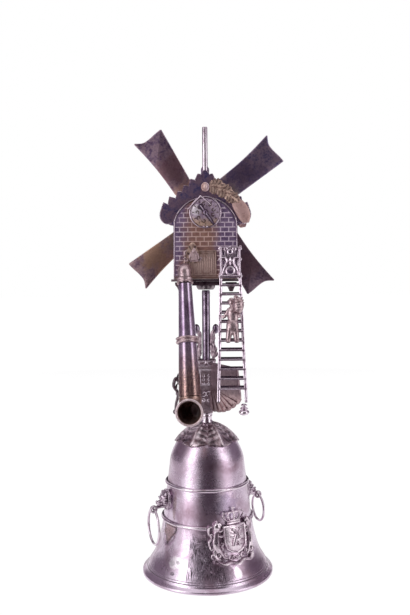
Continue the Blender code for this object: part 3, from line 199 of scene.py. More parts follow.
FLOOR_SIZE = 12.0
PAPER = (0.86, 0.86, 0.87)
PAPER_GLOW = 1.10
PAPER_GLOW_SHARE = 0.86
CARD_R = 0.85
CARD_FOOT = -0.02
CARD_TOP = 1.15
TABLE_CARD_R = 0.095
SOFT_BOX_R = 0.75


def around(degrees, radius, height):
    """A place round the cup: degrees from the camera's side, towards the right."""
    angle = math.radians(degrees)
    return Vector((radius * math.sin(angle), -radius * math.cos(angle), height)) + RIM_MIDDLE


def mesh_of(name, bm, finish):
    """The mesh of a drawn form, in its finish."""
    mesh = bpy.data.meshes.new(name)
    bm.to_mesh(mesh)
    bm.free()
    mesh.materials.append(finish.material)
    return mesh


world = bpy.data.worlds.new("white_surround")
world.use_nodes = True
world.node_tree.nodes["Background"].inputs["Color"].default_value = (1.0, 1.0, 1.0, 1.0)
bpy.context.scene.world = world

paper = Finish("floor_paper")
paper.put(paper.shader.inputs["Base Color"], PAPER)
paper.put(paper.shader.inputs["Roughness"], 0.9)
glow = paper.tree.nodes.new("ShaderNodeEmission")
glow.inputs["Strength"].default_value = PAPER_GLOW
glow.inputs["Color"].default_value = (1.0, 1.0, 1.0, 1.0)
# Camera rays and rays that metal reflects or glass passes see the paper's own white
camera_ray, glossy_ray, transmission_ray = [
    paper.node("ShaderNodeLightPath", {}, {}, output) for output in (0, 3, 6)]
share = paper.node("ShaderNodeMath", {"operation": "MULTIPLY", "use_clamp": True},
                   {0: camera_ray + glossy_ray + transmission_ray, 1: PAPER_GLOW_SHARE})
mixed = paper.tree.nodes.new("ShaderNodeMixShader")
paper.put(mixed.inputs[0], share)
paper.tree.links.new(paper.shader.outputs[0], mixed.inputs[1])
paper.tree.links.new(glow.outputs[0], mixed.inputs[2])
paper.tree.links.new(mixed.outputs[0], paper.tree.nodes["Material Output"].inputs["Surface"])
bm = bmesh.new()
bmesh.ops.create_grid(bm, x_segments=1, y_segments=1, size=FLOOR_SIZE / 2)
in_scene("floor", mesh_of("floor", bm, paper))

# Each card: degrees that it spans round the cup, and its colour. The table card lies flat,
# and only metal sees it.
CARDS = {"table_card": (-22.0, 30.0, (0.13, 0.10, 0.12)),
         "camera_card": (-29.0, 42.0, (0.108, 0.081, 0.104)),
         "left_card": (-158.0, -80.0, (0.36, 0.30, 0.36)),
         "right_card": (82.0, 158.0, (0.36, 0.30, 0.36)),
         "back_card": (160.0, 200.0, (0.06, 0.045, 0.058))}
for name, (start, end, colour) in CARDS.items():
    felt = Finish(name)
    felt.put(felt.shader.inputs["Base Color"], colour)
    felt.put(felt.shader.inputs["Roughness"], 1.0)
    felt.put(felt.shader.inputs["Specular IOR Level"], 0.0)
    bm = bmesh.new()
    if name == "table_card":
        places = ((TABLE_CARD_R, MM), (CARD_R, MM))
    else:
        places = ((CARD_R, CARD_FOOT), (CARD_R, CARD_TOP))
    edge = [bm.verts.new(around(start, radius, height)) for radius, height in places]
    bmesh.ops.spin(bm, geom=[*edge, bm.edges.new(edge)], cent=RIM_MIDDLE, axis=(0, 0, 1),
                   angle=math.radians(end - start), steps=12)
    card = in_scene(name, mesh_of(name, bm, felt))
    card.visible_camera = False
    card.visible_shadow = False
    card.visible_diffuse = name != "table_card"

# Each soft box: degrees round the cup, width and brightness. All are as tall and as high.
SOFT_BOXES = {"left_box": (-52.0, 0.26, 2.40), "right_box": (60.0, 0.19, 1.60),
              "far_left_box": (-150.0, 0.20, 0.5), "far_right_box": (150.0, 0.20, 0.5)}
SOFT_BOX_TALL = 0.80
SOFT_BOX_HEIGHT = 0.30
AIMED_AT = RIM_MIDDLE + Vector((0.0, 0.0, 0.14))
for name, (degrees, width, bright) in SOFT_BOXES.items():
    lamp = bpy.data.lights.new(name, "AREA")
    lamp.shape = "RECTANGLE"
    lamp.size = width
    lamp.size_y = SOFT_BOX_TALL
    lamp.energy = bright * math.pi * width * SOFT_BOX_TALL
    box = in_scene(name, lamp)
    place = around(degrees, SOFT_BOX_R, SOFT_BOX_HEIGHT)
    turn = (place - AIMED_AT).to_track_quat("Z", "Y")
    box.matrix_world = Matrix.Translation(place) @ turn.to_matrix().to_4x4()
    box.visible_camera = False


# The bell: the cup itself, raised from one sheet of silver and planished, then turned, so
# that fine lines run round it. Its wall thickens to a flat rim that the cup stands on.
# Grass and a shield are engraved low on its back, with two bare oval punch marks.
BELL_OUTSIDE = [(33.0, 0.0), (33.0, 1.2), (31.6, 1.9), (29.4, 5.6), (27.3, 9.0), (25.6, 13.0),
                (24.2, 18.0), (22.9, 24.0), (22.3, 28.0), (21.5, 36.0), (20.2, 45.0), (19.3, 52.0),
                (18.5, 58.0), (16.6, 62.8), (13.6, 67.6), (9.2, 71.5), (4.4, 73.8), (0.0, 74.4)]
CUP_WALL = 1.0
BELL_MIDDLE_R = 24.0
LILAC_TARNISH = (0.44, 0.31, 0.40)
BROWN_TARNISH = (0.20, 0.12, 0.12)
RECESS_BLACK = (0.035, 0.022, 0.032)
MERGED_WITHIN = 0.004


def fair(points, steps):
    """A smooth curve through the points, with so many steps from one to the next."""
    padded = [points[0], *points, points[-1]]
    curve = []
    for a, b, c, d in zip(padded, padded[1:], padded[2:], padded[3:]):
        for step in range(steps):
            t = step / steps
            curve.append(tuple(
                0.5 * (2 * q + (r - p) * t + (2 * p - 5 * q + 4 * r - s) * t * t
                       + (3 * q - p - 3 * r + s) * t * t * t)
                for p, q, r, s in zip(a, b, c, d)))
    curve.append(tuple(points[-1]))
    return curve


BELL = BELL_OUTSIDE[:2] + fair(BELL_OUTSIDE[2:], 4)


def bell_radius(height):
    """Outer radius of the bell at a height."""
    for (r0, z0), (r1, z1) in zip(BELL[1:], BELL[2:]):
        if z0 <= height <= z1:
            return r0 + (r1 - r0) * (height - z0) / max(z1 - z0, 1e-6)
    return BELL[0][0]


def merge_new(bm, before):
    """Merges the doubled corners of the form that was drawn since those before it."""
    own = [vert for vert in bm.verts if vert not in before]
    bmesh.ops.remove_doubles(bm, verts=own, dist=MERGED_WITHIN)


def turned(bm, profile, steps=96, ring=False, place=Matrix(), sweep=2 * math.pi):
    """A turned form about the local Z axis, from axis to axis or as a closed ring."""
    verts = [bm.verts.new((radius, 0.0, height)) for radius, height in profile]
    edges = [bm.edges.new(pair) for pair in zip(verts, verts[1:])]
    if ring:
        edges.append(bm.edges.new((verts[-1], verts[0])))
    whole = abs(sweep - 2 * math.pi) < 1e-6
    before = set(bm.verts) - set(verts)
    made = bmesh.ops.spin(bm, geom=verts + edges, cent=(0, 0, 0), axis=(0, 0, 1),
                          angle=sweep, steps=steps, use_merge=whole)
    if not whole:
        last = [item for item in made["geom_last"] if isinstance(item, bmesh.types.BMEdge)]
        bmesh.ops.contextual_create(bm, geom=edges)
        bmesh.ops.contextual_create(bm, geom=last)
    bmesh.ops.transform(bm, matrix=place, verts=[v for v in bm.verts if v not in before])
    merge_new(bm, before)


def put_on(name, bm, finish, stands_for=(), body="cup", sharp=38.0, refine=()):
    """Makes a drawn piece an object of the cup, in place of the CAD nodes that it stands for."""
    bmesh.ops.recalc_face_normals(bm, faces=bm.faces)
    bmesh.ops.scale(bm, verts=bm.verts, vec=(MM, MM, MM))
    bmesh.ops.translate(bm, verts=bm.verts, vec=RIM_MIDDLE)
    mesh = mesh_of(name, bm, finish)
    mesh.shade_smooth()
    mesh.set_sharp_from_angle(angle=math.radians(sharp))
    piece = in_scene(name, mesh)
    for kind, settings in refine:
        modifier = piece.modifiers.new(kind.lower(), kind)
        for key, value in settings.items():
            setattr(modifier, key, value)
    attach(piece, body)
    if stands_for:
        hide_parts(*stands_for)


def old_silver(name, pale, stain=LILAC_TARNISH, deep=BROWN_TARNISH, stained=0.5, patch=9.0,
               speck=0.16, grain=0.02, rough=(0.20, 0.42), height=None, hollow=None, metal=1.0):
    """Silver under a patchy film: pale where it is rubbed, lilac to brown where it is not.

    stained is how much of it is covered, from 0 to 1. Patches are so many millimetres wide,
    speck is the share of the finer flecks in them, and grain is how far the flecks stand up.
    A height of 0 to 1 adds its own relief, and a hollow of 0 to 1 keeps black in the recesses.
    A thick film hides some of the metal, so that its share is below 1.
    """
    finish = Finish(name)
    point = finish.in_millimetres()
    clouds = finish.noise(point, 1.0 / patch, 4.0, 0.6, 0.6)
    flecks = finish.noise(point, 0.9, 4.0, 0.6)
    film_from = 0.60 - 0.34 * stained
    film = finish.spread(clouds * (1.0 - speck) + flecks * speck, film_from, 0.84 - 0.34 * stained)
    deep_from = 0.66 - 0.22 * stained
    depth = finish.spread(clouds * (0.8 - speck) + flecks * (0.2 + speck), deep_from,
                          0.90 - 0.22 * stained)
    colour = finish.blend(depth * 0.75, finish.blend(film, pale, stain), deep)
    if hollow is not None:
        colour = finish.blend(hollow(finish, point), colour, RECESS_BLACK)
    finish.put(finish.shader.inputs["Base Color"], colour)
    finish.put(finish.shader.inputs["Metallic"], metal)
    low, high = rough
    finish.put(finish.shader.inputs["Roughness"], low + (high - low) * (film * 0.6 + flecks * 0.4))
    relief = flecks * grain
    if height is not None:
        relief = relief + height(finish, point)
    finish.put(finish.shader.inputs["Normal"], finish.bump(relief, 1.0))
    return finish


def turning_lines(finish, point):
    """Fine lines that the lathe left round the bell, and the faint dents of the hammer."""
    lines = finish.noise(finish.stretched(point, 0.03, 0.03, 3.4), 1.0, 4.0, 0.7)
    dents = finish.noise(point, 0.16, 2.0, 0.5)
    return lines * 0.34 + dents * 0.40


def round_bell(finish, point):
    """Millimetres round the bell at its middle, from the camera's side, and the height."""
    x, y, z = finish.parts(point)
    return x.worked("ARCTAN2", x, 0.0 - y) * BELL_MIDDLE_R, z


def engraving(finish, point):
    """Depth of the graver's cuts on the bell: 1 in a cut and 0 outside."""
    along, z = round_bell(finish, point)

    def between(value, low, high, soft=0.5):
        return finish.spread(value, low, low + soft) * finish.within(value, high - soft, high)

    flat = finish.joined(along, z)
    sway = finish.noise(flat, 0.30, 2.0)
    swaying = finish.joined(along * 2.1 + sway * 1.8 + z * 0.25, z * 0.15)
    blades = between(finish.noise(swaying, 1.0, 2.0, 0.5), 0.425, 0.540, 0.025)
    field = between(along, -9.0, 7.5, 3.0) * between(z, 2.6, 25.5, 4.0)
    tufts = finish.spread(finish.noise(flat, 0.22, 2.0), 0.30, 0.45)
    grass = blades * field * tufts
    rim_line = between(z, 3.3, 3.7, 0.15) * 0.8 + between(z, 4.3, 4.55, 0.1) * 0.5
    # The shield: its two curved sides, its straight top, and the straps that hang from it
    side = abs(along + 23.0)
    foot = finish.spread(z, 25.6, 17.2)
    edge = abs(side - (1.0 - foot) * 5.2)
    outline = finish.within(edge, 0.30, 0.60) * between(z, 17.4, 26.6, 0.2)
    top = finish.within(abs(z - 26.4), 0.22, 0.50) * (side < 5.2)
    straps = finish.noise(finish.stretched(flat, 0.5, 0.22, 1.0), 0.75, 1.0, 0.4, 1.5)
    straps = between(straps, 0.49, 0.52, 0.012)
    straps = straps * between(along, -34.0, -17.0, 3.0) * between(z, 4.0, 25.0, 4.0)

    def punch(centre_along, centre_z, half_wide, half_tall):
        wide = (along - centre_along) / half_wide
        tall = (z - centre_z) / half_tall
        reach = wide * wide + tall * tall
        return between(reach, 0.55, 1.25, 0.2) + between(reach, 0.0, 0.45, 0.15) * 0.35

    marks = (punch(-16.9, 10.4, 1.25, 0.95) + punch(-13.9, 11.2, 0.9, 0.7)
             + punch(-15.2, 6.4, 0.9, 0.55))
    cuts = grass + rim_line + outline + top + straps * 0.8 + marks * 1.5
    return finish.node("ShaderNodeClamp", {}, {0: cuts})


def bell_relief(finish, point):
    return turning_lines(finish, point) * 0.16 - engraving(finish, point) * 0.80


def bell_stains_and_painted_light(finish, point, colour):
    """Pinkish brown in the engraved shield, brown by the left mask, darker patches on the right, a brown
    band round the crown under the calyx leaves, painted shade below the arms, and two near-white painted
    highlights.

    Each place: millimetres round the bell, height, half its width and height, share, colour.
    """
    turn, z = round_bell(finish, point)
    ragged = (finish.noise(point, 0.42, 5.0, 0.75) - 0.5) * 4.0
    places = ((-23.0, 23.4, 4.8, 4.6, 0.75, (0.34, 0.21, 0.21)),
              (-20.5, 36.0, 1.6, 6.4, 0.50, (0.19, 0.11, 0.08)),
              # Painted shade below the arms
              (7.0, 7.6, 4.6, 3.6, 0.70, (0.12, 0.08, 0.11)),
              # Two painted highlights, near white: low on the right, and round the punch marks
              (13.0, 7.2, 1.8, 2.2, 0.80, (0.96, 0.88, 0.94)),
              (-15.2, 10.8, 3.6, 2.8, 0.70, (0.95, 0.88, 0.94)),
              (11.0, 38.0, 7.0, 5.5, 0.60, (0.30, 0.23, 0.34)),
              (26.0, 8.0, 9.0, 6.0, 0.50, (0.34, 0.25, 0.35)),
              (-3.0, 68.5, 40.0, 3.0, 0.40, (0.20, 0.12, 0.12)))
    # The colour of each place: stains, with painted shade and painted highlights among them
    for along, height, wide, tall, strong, stain in places:
        across = (turn - along) / wide
        up = (z - height) / tall
        inside = finish.within(across * across + up * up + ragged, 0.4, 1.3)
        colour = finish.blend(inside * strong, colour, stain)
    return colour


def tinted(finish, tint):
    """Lays a second colour over a finish that is already made."""
    socket = finish.shader.inputs["Base Color"]
    under = Reading(finish, socket.links[0].from_socket)
    finish.put(socket, tint(finish, finish.in_millimetres(), under))
    return finish


def blackened_cuts(finish, point):
    return engraving(finish, point) * 0.74


bell_silver = tinted(old_silver("bell_silver", (0.67, 0.55, 0.67), stained=0.56, patch=16.0,
                                speck=0.07, grain=0.006, rough=(0.21, 0.34), height=bell_relief,
                                hollow=blackened_cuts), bell_stains_and_painted_light)
bm = bmesh.new()
inside = [(radius - CUP_WALL, height) for radius, height in BELL_OUTSIDE[2:-3]]
inside = [(31.0, 0.0), (31.0, 1.2), *fair(inside, 3), (8.6, 70.6), (4.2, 72.9), (0.0, 73.4)]
turned(bm, [*reversed(inside), (33.0, 0.0), (33.0, 1.0), (32.8, 1.3), *BELL[2:]], 144)
put_on("bell", bm, bell_silver, ["cup_bowl"])


# Two half-round wires soldered round the bell. The upper one is whole, and the lower one
# stops on both sides of the coat of arms that is pinned over it.
BAND_HEIGHT = 1.9
BAND_PROUD = 1.25
ARMS_AZIMUTH = math.radians(32.5)
LOWER_BAND_STOP = math.radians(33.9)

band_silver = old_silver("band_silver", (0.74, 0.64, 0.72), stained=0.36, patch=7.0, grain=0.012,
                         rough=(0.16, 0.30))
for name, height, opening in (("upper_band", 45.0, 0.0), ("lower_band", 27.6, LOWER_BAND_STOP)):
    arc = [math.pi * (step / 12 - 0.5) for step in range(13)]
    seat = bell_radius(height) + 0.02
    profile = [(seat + BAND_PROUD * math.cos(a), height + BAND_HEIGHT / 2 * math.sin(a)) for a in arc]
    start = ARMS_AZIMUTH + opening - math.pi / 2
    bm = bmesh.new()
    turned(bm, profile, 144, ring=True, place=Matrix.Rotation(start, 4, "Z"),
           sweep=2 * math.pi - 2 * opening)
    put_on(name + "_wire", bm, band_silver, [name])


# The coat of arms: three castings pinned over one another on the bell, pierced so that the
# dark bell shows through. Two beasts stand on a scroll and hold a bordered shield under an
# arched crown with pearls and a cross. The charges are of no particular house.
ARMS_Z = 24.0


def on_arms(x, depth, z):
    """A point of the arms: to the right of their middle, in front of the bell, and above it."""
    return (x, -depth, z + ARMS_Z)


def linked(verts, kind="link_edges"):
    """The edges or faces at some corners, each once and in the same order in every run."""
    return list(dict.fromkeys(item for vert in verts for item in getattr(vert, kind)))


def drawn_bar(bm, path, radii, sides=10, flat=1.0):
    """A round bar along a path, or a flatter one, with closed ends. Returns its end corners.

    Its radius is one number, or one for each point where it changes.
    """
    path = [Vector(point) for point in path]
    if isinstance(radii, float):
        radii = [radii] * len(path)
    frame_turn = None
    way = None
    loops = []
    rims = []
    for index, (point, radius) in enumerate(zip(path, radii)):
        onward = (path[min(index + 1, len(path) - 1)] - path[max(index - 1, 0)]).normalized()
        if frame_turn is None:
            frame_turn = onward.to_track_quat("Z", "Y")
        else:
            frame_turn = way.rotation_difference(onward) @ frame_turn
        way = onward
        place = (Matrix.Translation(point) @ frame_turn.to_matrix().to_4x4()
                 @ Matrix.Diagonal((radius, radius * flat, 1.0, 1.0)))
        made = bmesh.ops.create_circle(bm, segments=sides, radius=1.0, matrix=place)
        loops.append(linked(made["verts"]))
        rims.append(made["verts"])
    for first, second in zip(loops, loops[1:]):
        bmesh.ops.bridge_loops(bm, edges=first + second)
    for rim in (rims[0], rims[-1]):
        bmesh.ops.contextual_create(bm, geom=rim)
    return rims[0], rims[-1]


def tapered(path, first, last):
    """Radii that change evenly along a path."""
    return [first + (last - first) * step / (len(path) - 1) for step in range(len(path))]


def eased(radii, steps=3):
    """Radii for a fair curve through the points that the given ones belong to."""
    return [value for value, in fair([(radius,) for radius in radii], steps)]


def oval(wide, tall, count, x=0.0, z=0.0):
    """Points of a circle or an oval about a middle."""
    turns = [2 * math.pi * step / count for step in range(count)]
    return [(x + wide * math.cos(a), z + tall * math.sin(a)) for a in turns]


def closed_pairs(line):
    """Each point of a closed outline with the next."""
    return zip(line, line[1:] + line[:1])


def bead(bm, centre, radius, squash=(1.0, 1.0, 1.0), detail=10):
    """A small ball or a drop of metal."""
    place = Matrix.Translation(centre) @ Matrix.Diagonal((*(radius * part for part in squash), 1.0))
    bmesh.ops.create_uvsphere(bm, u_segments=detail, v_segments=max(5, detail * 2 // 3), radius=1.0,
                              matrix=place)


def slab(bm, outline, back, front, bevel=0.0, holes=()):
    """A plate in the XZ plane, seen from -Y, between two depths, with its edges eased."""
    before = set(bm.verts)
    edges = []
    for loop in (outline, *holes):
        verts = [bm.verts.new((x, -back, z)) for x, z in loop]
        edges += [bm.edges.new(pair) for pair in closed_pairs(verts)]
    filled = bmesh.ops.triangle_fill(bm, use_beauty=True, edges=edges)
    faces = [item for item in filled["geom"] if isinstance(item, bmesh.types.BMFace)]
    grown = bmesh.ops.extrude_face_region(bm, geom=faces)
    moved = [item for item in grown["geom"] if isinstance(item, bmesh.types.BMVert)]
    bmesh.ops.translate(bm, verts=moved, vec=(0.0, back - front, 0.0))
    if bevel:
        corners = [edge for edge in bm.edges if all(vert in set(moved) for vert in edge.verts)
                   and len(edge.link_faces) == 2 and edge.calc_face_angle(0.0) > 1.0]
        bmesh.ops.bevel(bm, geom=corners, offset=bevel, segments=2, affect="EDGES", profile=0.5,
                        material=-1, clamp_overlap=True)
        merge_new(bm, before)


def lay_on_bell(bm, azimuth):
    """Wraps what is drawn square on, at depths in front of Y 0, round the bell."""
    for vert in bm.verts:
        x, depth, z = vert.co.x, -vert.co.y, vert.co.z
        radius = bell_radius(z)
        turn = azimuth + x / radius
        vert.co = Vector(((radius + depth) * math.sin(turn), -(radius + depth) * math.cos(turn), z))


def mirrored(half):
    """A closed outline from its right half, given from the bottom middle to the top middle."""
    return list(half) + [(-x, z) for x, z in reversed(half) if abs(x) > 1e-9]


def curl(centre_x, centre_z, start_r, end_r, start_deg, turn_deg, depth, steps=14):
    """A spiral of points, seen square on, at one depth."""
    points = []
    for step in range(steps + 1):
        share = step / steps
        angle = math.radians(start_deg + turn_deg * share)
        radius = start_r + (end_r - start_r) * share
        points.append((centre_x + radius * math.cos(angle), -depth, centre_z + radius * math.sin(angle)))
    return points


def limb(bm, way, points, radii, sides=9):
    """A rounded limb of one of the beasts, drawn on the right and turned over for the left."""
    curve = fair([on_arms(way * x, depth, z) for x, depth, z in points], 3)
    drawn_bar(bm, curve, eased(radii), sides)


arms_silver = old_silver("arms_silver", (0.75, 0.64, 0.71), stained=0.48, patch=4.0, grain=0.05,
                         rough=(0.22, 0.40))
# Each scroll of the mantling: its middle, its size and the degrees that it starts at
MANTLING = ((10.4, -11.0, 1.5, 200), (3.4, -9.7, 1.3, 20), (1.2, -10.2, 1.1, 150),
            (11.4, -8.6, 1.2, 300), (6.9, -3.4, 1.1, 40), (7.2, -5.6, 0.9, 160),
            (11.0, -5.8, 1.0, 80), (10.9, 0.6, 0.9, 250), (5.4, -8.0, 1.0, 300),
            (8.9, -8.6, 1.0, 120))
bm = bmesh.new()
ribbon = fair([on_arms(-9.8, 1.0, -10.6), on_arms(-7.4, 1.4, -12.2), on_arms(-3.6, 1.2, -11.6),
               on_arms(0.0, 1.7, -12.6), on_arms(3.6, 1.2, -11.6), on_arms(7.4, 1.4, -12.2),
               on_arms(9.8, 1.0, -10.6)], 5)
drawn_bar(bm, ribbon, 1.15, 10, 0.55)
for way in (-1, 1):
    # A beast stands up against the shield: body, neck, muzzle, forelegs, hind legs and tail
    limb(bm, way, [(8.6, 1.0, -6.6), (9.6, 1.3, -3.4), (9.0, 1.4, 0.4), (8.6, 1.5, 3.8)],
         [1.2, 1.7, 1.35, 1.2])
    limb(bm, way, [(8.8, 1.4, 2.6), (8.4, 1.7, 5.0), (7.6, 1.7, 6.4)], [1.2, 1.75, 1.1])
    limb(bm, way, [(7.6, 1.7, 6.4), (6.9, 1.8, 5.6), (6.4, 1.7, 5.2)], [1.0, 0.75, 0.4], 8)
    limb(bm, way, [(8.4, 1.5, 3.2), (6.9, 1.8, 2.8), (5.6, 2.0, 3.6)], [0.8, 0.6, 0.5], 8)
    limb(bm, way, [(8.4, 1.4, 1.2), (6.9, 1.8, 0.4), (5.5, 2.0, 0.6)], [0.8, 0.6, 0.5], 8)
    limb(bm, way, [(9.4, 1.2, -4.2), (7.8, 1.4, -6.6), (6.4, 1.4, -9.4), (5.2, 1.6, -9.9)],
         [1.4, 0.9, 0.55, 0.5])
    limb(bm, way, [(9.6, 1.1, -5.0), (10.6, 1.1, -7.4), (9.6, 1.1, -9.8), (8.2, 1.4, -10.0)],
         [1.1, 0.8, 0.55, 0.5])
    limb(bm, way, [(9.8, 0.9, -3.6), (12.0, 0.9, -5.6), (12.7, 0.9, -2.4), (11.2, 1.0, -0.4),
                   (12.4, 1.0, 2.0), (12.0, 1.1, 4.4), (10.6, 1.1, 4.8)],
         [0.45, 0.5, 0.5, 0.5, 0.55, 0.65, 0.3], 8)
    # Tufts of the mane
    for step in range(5):
        bead(bm, on_arms(way * (9.7 - 0.35 * step), 1.2, 3.2 + 0.95 * step), 0.62, (1, 0.9, 1), 8)
    for centre_x, centre_z, size, start in MANTLING:
        path = curl(way * centre_x, centre_z + ARMS_Z, size, 0.25, start, way * 400, 1.0, 12)
        drawn_bar(bm, path, tapered(path, 0.42, 0.204), 7)
lay_on_bell(bm, ARMS_AZIMUTH)
put_on("arms_beasts", bm, arms_silver, ["arms_supporters"])

SHIELD = mirrored([(0.0, -7.6), (2.5, -6.9), (4.9, -5.2), (5.6, -3.0), (5.6, 4.5), (0.0, 4.5)])
# The rampant beast on it: each limb's points and radii
CHARGE = [([(-1.5, -4.6), (-0.6, -2.2), (0.6, 0.4), (-0.2, 2.4)], [0.5, 0.75, 0.7, 0.6]),
          ([(-0.2, 2.2), (-1.0, 2.9), (-1.7, 2.3)], [0.7, 0.6, 0.3]),
          ([(0.5, 0.6), (-1.2, 0.8), (-2.3, 1.6)], [0.45, 0.35, 0.3]),
          ([(0.2, -0.6), (-1.4, -0.8), (-2.4, -0.3)], [0.45, 0.35, 0.3]),
          ([(-0.6, -2.4), (1.2, -3.4), (1.7, -5.0)], [0.6, 0.45, 0.35]),
          ([(-0.8, -2.6), (2.4, -1.6), (1.8, 0.8), (3.0, 2.4), (2.2, 3.2)],
           [0.35, 0.35, 0.35, 0.4, 0.25])]
bm = bmesh.new()
slab(bm, [(x, z + ARMS_Z) for x, z in SHIELD], 0.9, 2.0, 0.15)
for start, end in closed_pairs([on_arms(x, 2.15, z) for x, z in SHIELD]):
    drawn_bar(bm, [start, end], 0.42, 8)
    bead(bm, start, 0.44, detail=8)
# Small billets round the beast, in rows that are set off from one another
for row in range(5):
    for column in range(4):
        x = (column - 1.5) * 2.4 + (0.5 if row % 2 else -0.5)
        z = 3.4 - row * 2.0
        if abs(x) < 4.6 and not (abs(x) < 1.9 and -4.5 < z < 2.6):
            bead(bm, on_arms(x, 2.0, z), 0.36, (1.5, 0.7, 0.7), 7)
for points, radii in CHARGE:
    drawn_bar(bm, fair([on_arms(x, 2.25, z) for x, z in points], 3), eased(radii), 8)
lay_on_bell(bm, ARMS_AZIMUTH)
put_on("arms_escutcheon", bm, arms_silver, ["arms_shield"])

bm = bmesh.new()
for height, radius in ((5.5, 0.55), (6.6, 0.4)):
    drawn_bar(bm, [on_arms(x, 1.3, height) for x in (-3.4, -1.7, 0.0, 1.7, 3.4)], radius, 8)
for step in range(-3, 4):
    bead(bm, on_arms(step * 1.05, 1.6, 6.05), 0.34, detail=7)
for spread in (-5.4, -3.1, 0.0, 3.1, 5.4):
    # One arch, with pearls along it
    points = [on_arms(spread * 0.55, 1.2, 6.5), on_arms(spread * 0.88, 1.7, 8.2),
              on_arms(spread, 1.9, 9.7), on_arms(spread * 0.72, 1.8, 10.8),
              on_arms(spread * 0.12, 1.5, 10.6)]
    drawn_bar(bm, fair(points, 4), 0.40, 8, 0.8)
    for rise, out in ((7.8, 0.80), (8.8, 0.96), (9.7, 1.0)):
        bead(bm, on_arms(spread * out, 2.2, rise), 0.32, detail=7)
    bead(bm, on_arms(spread * 0.96, 1.6, 10.8), 0.42, detail=8)
# The orb and its cross
bead(bm, on_arms(0.0, 1.5, 11.3), 0.7)
drawn_bar(bm, [on_arms(0.0, 1.5, 11.8), on_arms(0.0, 1.5, 13.2)], [0.28, 0.36], 8)
drawn_bar(bm, [on_arms(-0.8, 1.5, 12.6), on_arms(0.8, 1.5, 12.6)], 0.3, 8)
lay_on_bell(bm, ARMS_AZIMUTH)
put_on("arms_arched_crown", bm, arms_silver, ["arms_crown"])


# The lion masks: two cast medallions soldered on the bell, each with a beaded rim, a mane
# and a loose wire ring that hangs through the jaw and swings outwards.
mask_silver = old_silver("mask_silver", (0.66, 0.56, 0.64), (0.30, 0.21, 0.28), (0.10, 0.06, 0.07),
                         stained=0.56, patch=2.2, speck=0.3, grain=0.08)
# Each mask: degrees round the bell, the height of the ring's eye, and the ring's whole height
MASKS = {"left": (-68.0, 33.4, 18.2), "right": (112.0, 34.2, 14.6)}
EYE_R = 28.8
RING_WIRE_R = 0.62
LOCKS = 15
TO_FRONT = Matrix.Rotation(math.pi / 2, 4, "X")

for side, (azimuth, eye_z, ring_height) in MASKS.items():
    turn = Matrix.Rotation(math.radians(azimuth), 4, "Z")
    middle_z = eye_z + 4.2
    skin = -bell_radius(middle_z)
    bm = bmesh.new()
    bead(bm, (0.0, skin - 0.2, middle_z), 1.0, (4.7, 1.5, 5.2), 36)
    for x, z in oval(4.4, 4.9, 32, 0.0, middle_z):
        bead(bm, (x, skin - 0.9, z), 0.44, detail=8)
    for step in range(LOCKS):
        # A lock of the mane, swept round as it runs outwards
        angle = math.radians(-38 + 256 * step / (LOCKS - 1))
        swept = angle + 0.25
        start = Vector((1.6 * math.cos(angle), skin - 2.4, middle_z + 0.4 + 1.9 * math.sin(angle)))
        end = Vector((3.8 * math.cos(swept), skin - 1.5, middle_z + 4.1 * math.sin(swept)))
        bend = (start + end) / 2 + Vector((0.0, -0.9, 0.0))
        drawn_bar(bm, fair([start, bend, end], 3), [0.55, 0.62, 0.66, 0.62, 0.5, 0.34, 0.18], 8)
    # Face, muzzle and nose, then on each side cheek, brow, eye and ear
    bead(bm, (0.0, skin - 2.2, middle_z + 0.6), 1.0, (2.5, 2.2, 2.8), 20)
    bead(bm, (0.0, skin - 3.9, eye_z + 3.0), 1.0, (1.5, 2.3, 1.3), 16)
    bead(bm, (0.0, skin - 5.9, eye_z + 3.7), 1.0, (0.75, 0.6, 0.5), 12)
    for way in (-1, 1):
        bead(bm, (way * 0.95, skin - 5.1, eye_z + 2.6), 1.0, (0.95, 1.0, 0.8), 14)
        bead(bm, (way * 1.15, skin - 4.0, middle_z + 1.35), 1.0, (0.95, 0.7, 0.42), 12)
        bead(bm, (way * 1.1, skin - 4.15, middle_z + 0.65), 0.42, (1, 0.8, 0.8), 10)
        bead(bm, (way * 2.6, skin - 1.9, middle_z + 3.2), 1.0, (0.85, 0.8, 1.0), 12)
    # The eye that the ring hangs in, on its shank
    turned(bm, oval(0.55, 0.9, 10, 1.45), 24, ring=True,
           place=Matrix.Translation((0.0, -EYE_R, eye_z)) @ Matrix.Rotation(math.pi / 2, 4, "Y"))
    drawn_bar(bm, [(0.0, skin, eye_z + 1.8), (0.0, -EYE_R + 1.7, eye_z + 0.9)], [1.5, 0.8], 12)
    bmesh.ops.transform(bm, matrix=turn, verts=bm.verts)
    put_on(side + "_mask", bm, mask_silver, [side + "_lion_mask"])

    major = ring_height / 2 - RING_WIRE_R
    bm = bmesh.new()
    turned(bm, oval(RING_WIRE_R, RING_WIRE_R, 16, major), 96, ring=True,
           place=turn @ Matrix.Translation((0.0, -EYE_R, eye_z - major)) @ TO_FRONT)
    put_on(side + "_wire_ring", bm, band_silver, [side + "_ring"], body=side + "_ring")


# The calyx: six chased acanthus leaves lapped over the crown of the bell, their tips turned
# up a little. Worn bright on the ribs and black between them.
LEAF_COUNT = 6
LEAF_FOOT_R = 3.4
LEAF_TIP_R = 15.6
LEAF_HALF_SPREAD = math.radians(30.5)


def laid_sheet(bm, along, across, thick, laid):
    """A thin sheet over a grid. laid(s, t, vert) places each point along and across it."""
    before = set(bm.verts)
    made = bmesh.ops.create_grid(bm, x_segments=along, y_segments=across, size=1.0)
    for vert in made["verts"]:
        vert.co = Vector(laid((vert.co.x + 1.0) / 2.0, vert.co.y, vert))
    faces = linked(made["verts"], "link_faces")
    bmesh.ops.recalc_face_normals(bm, faces=faces)
    bmesh.ops.solidify(bm, geom=faces, thickness=thick)
    merge_new(bm, before)


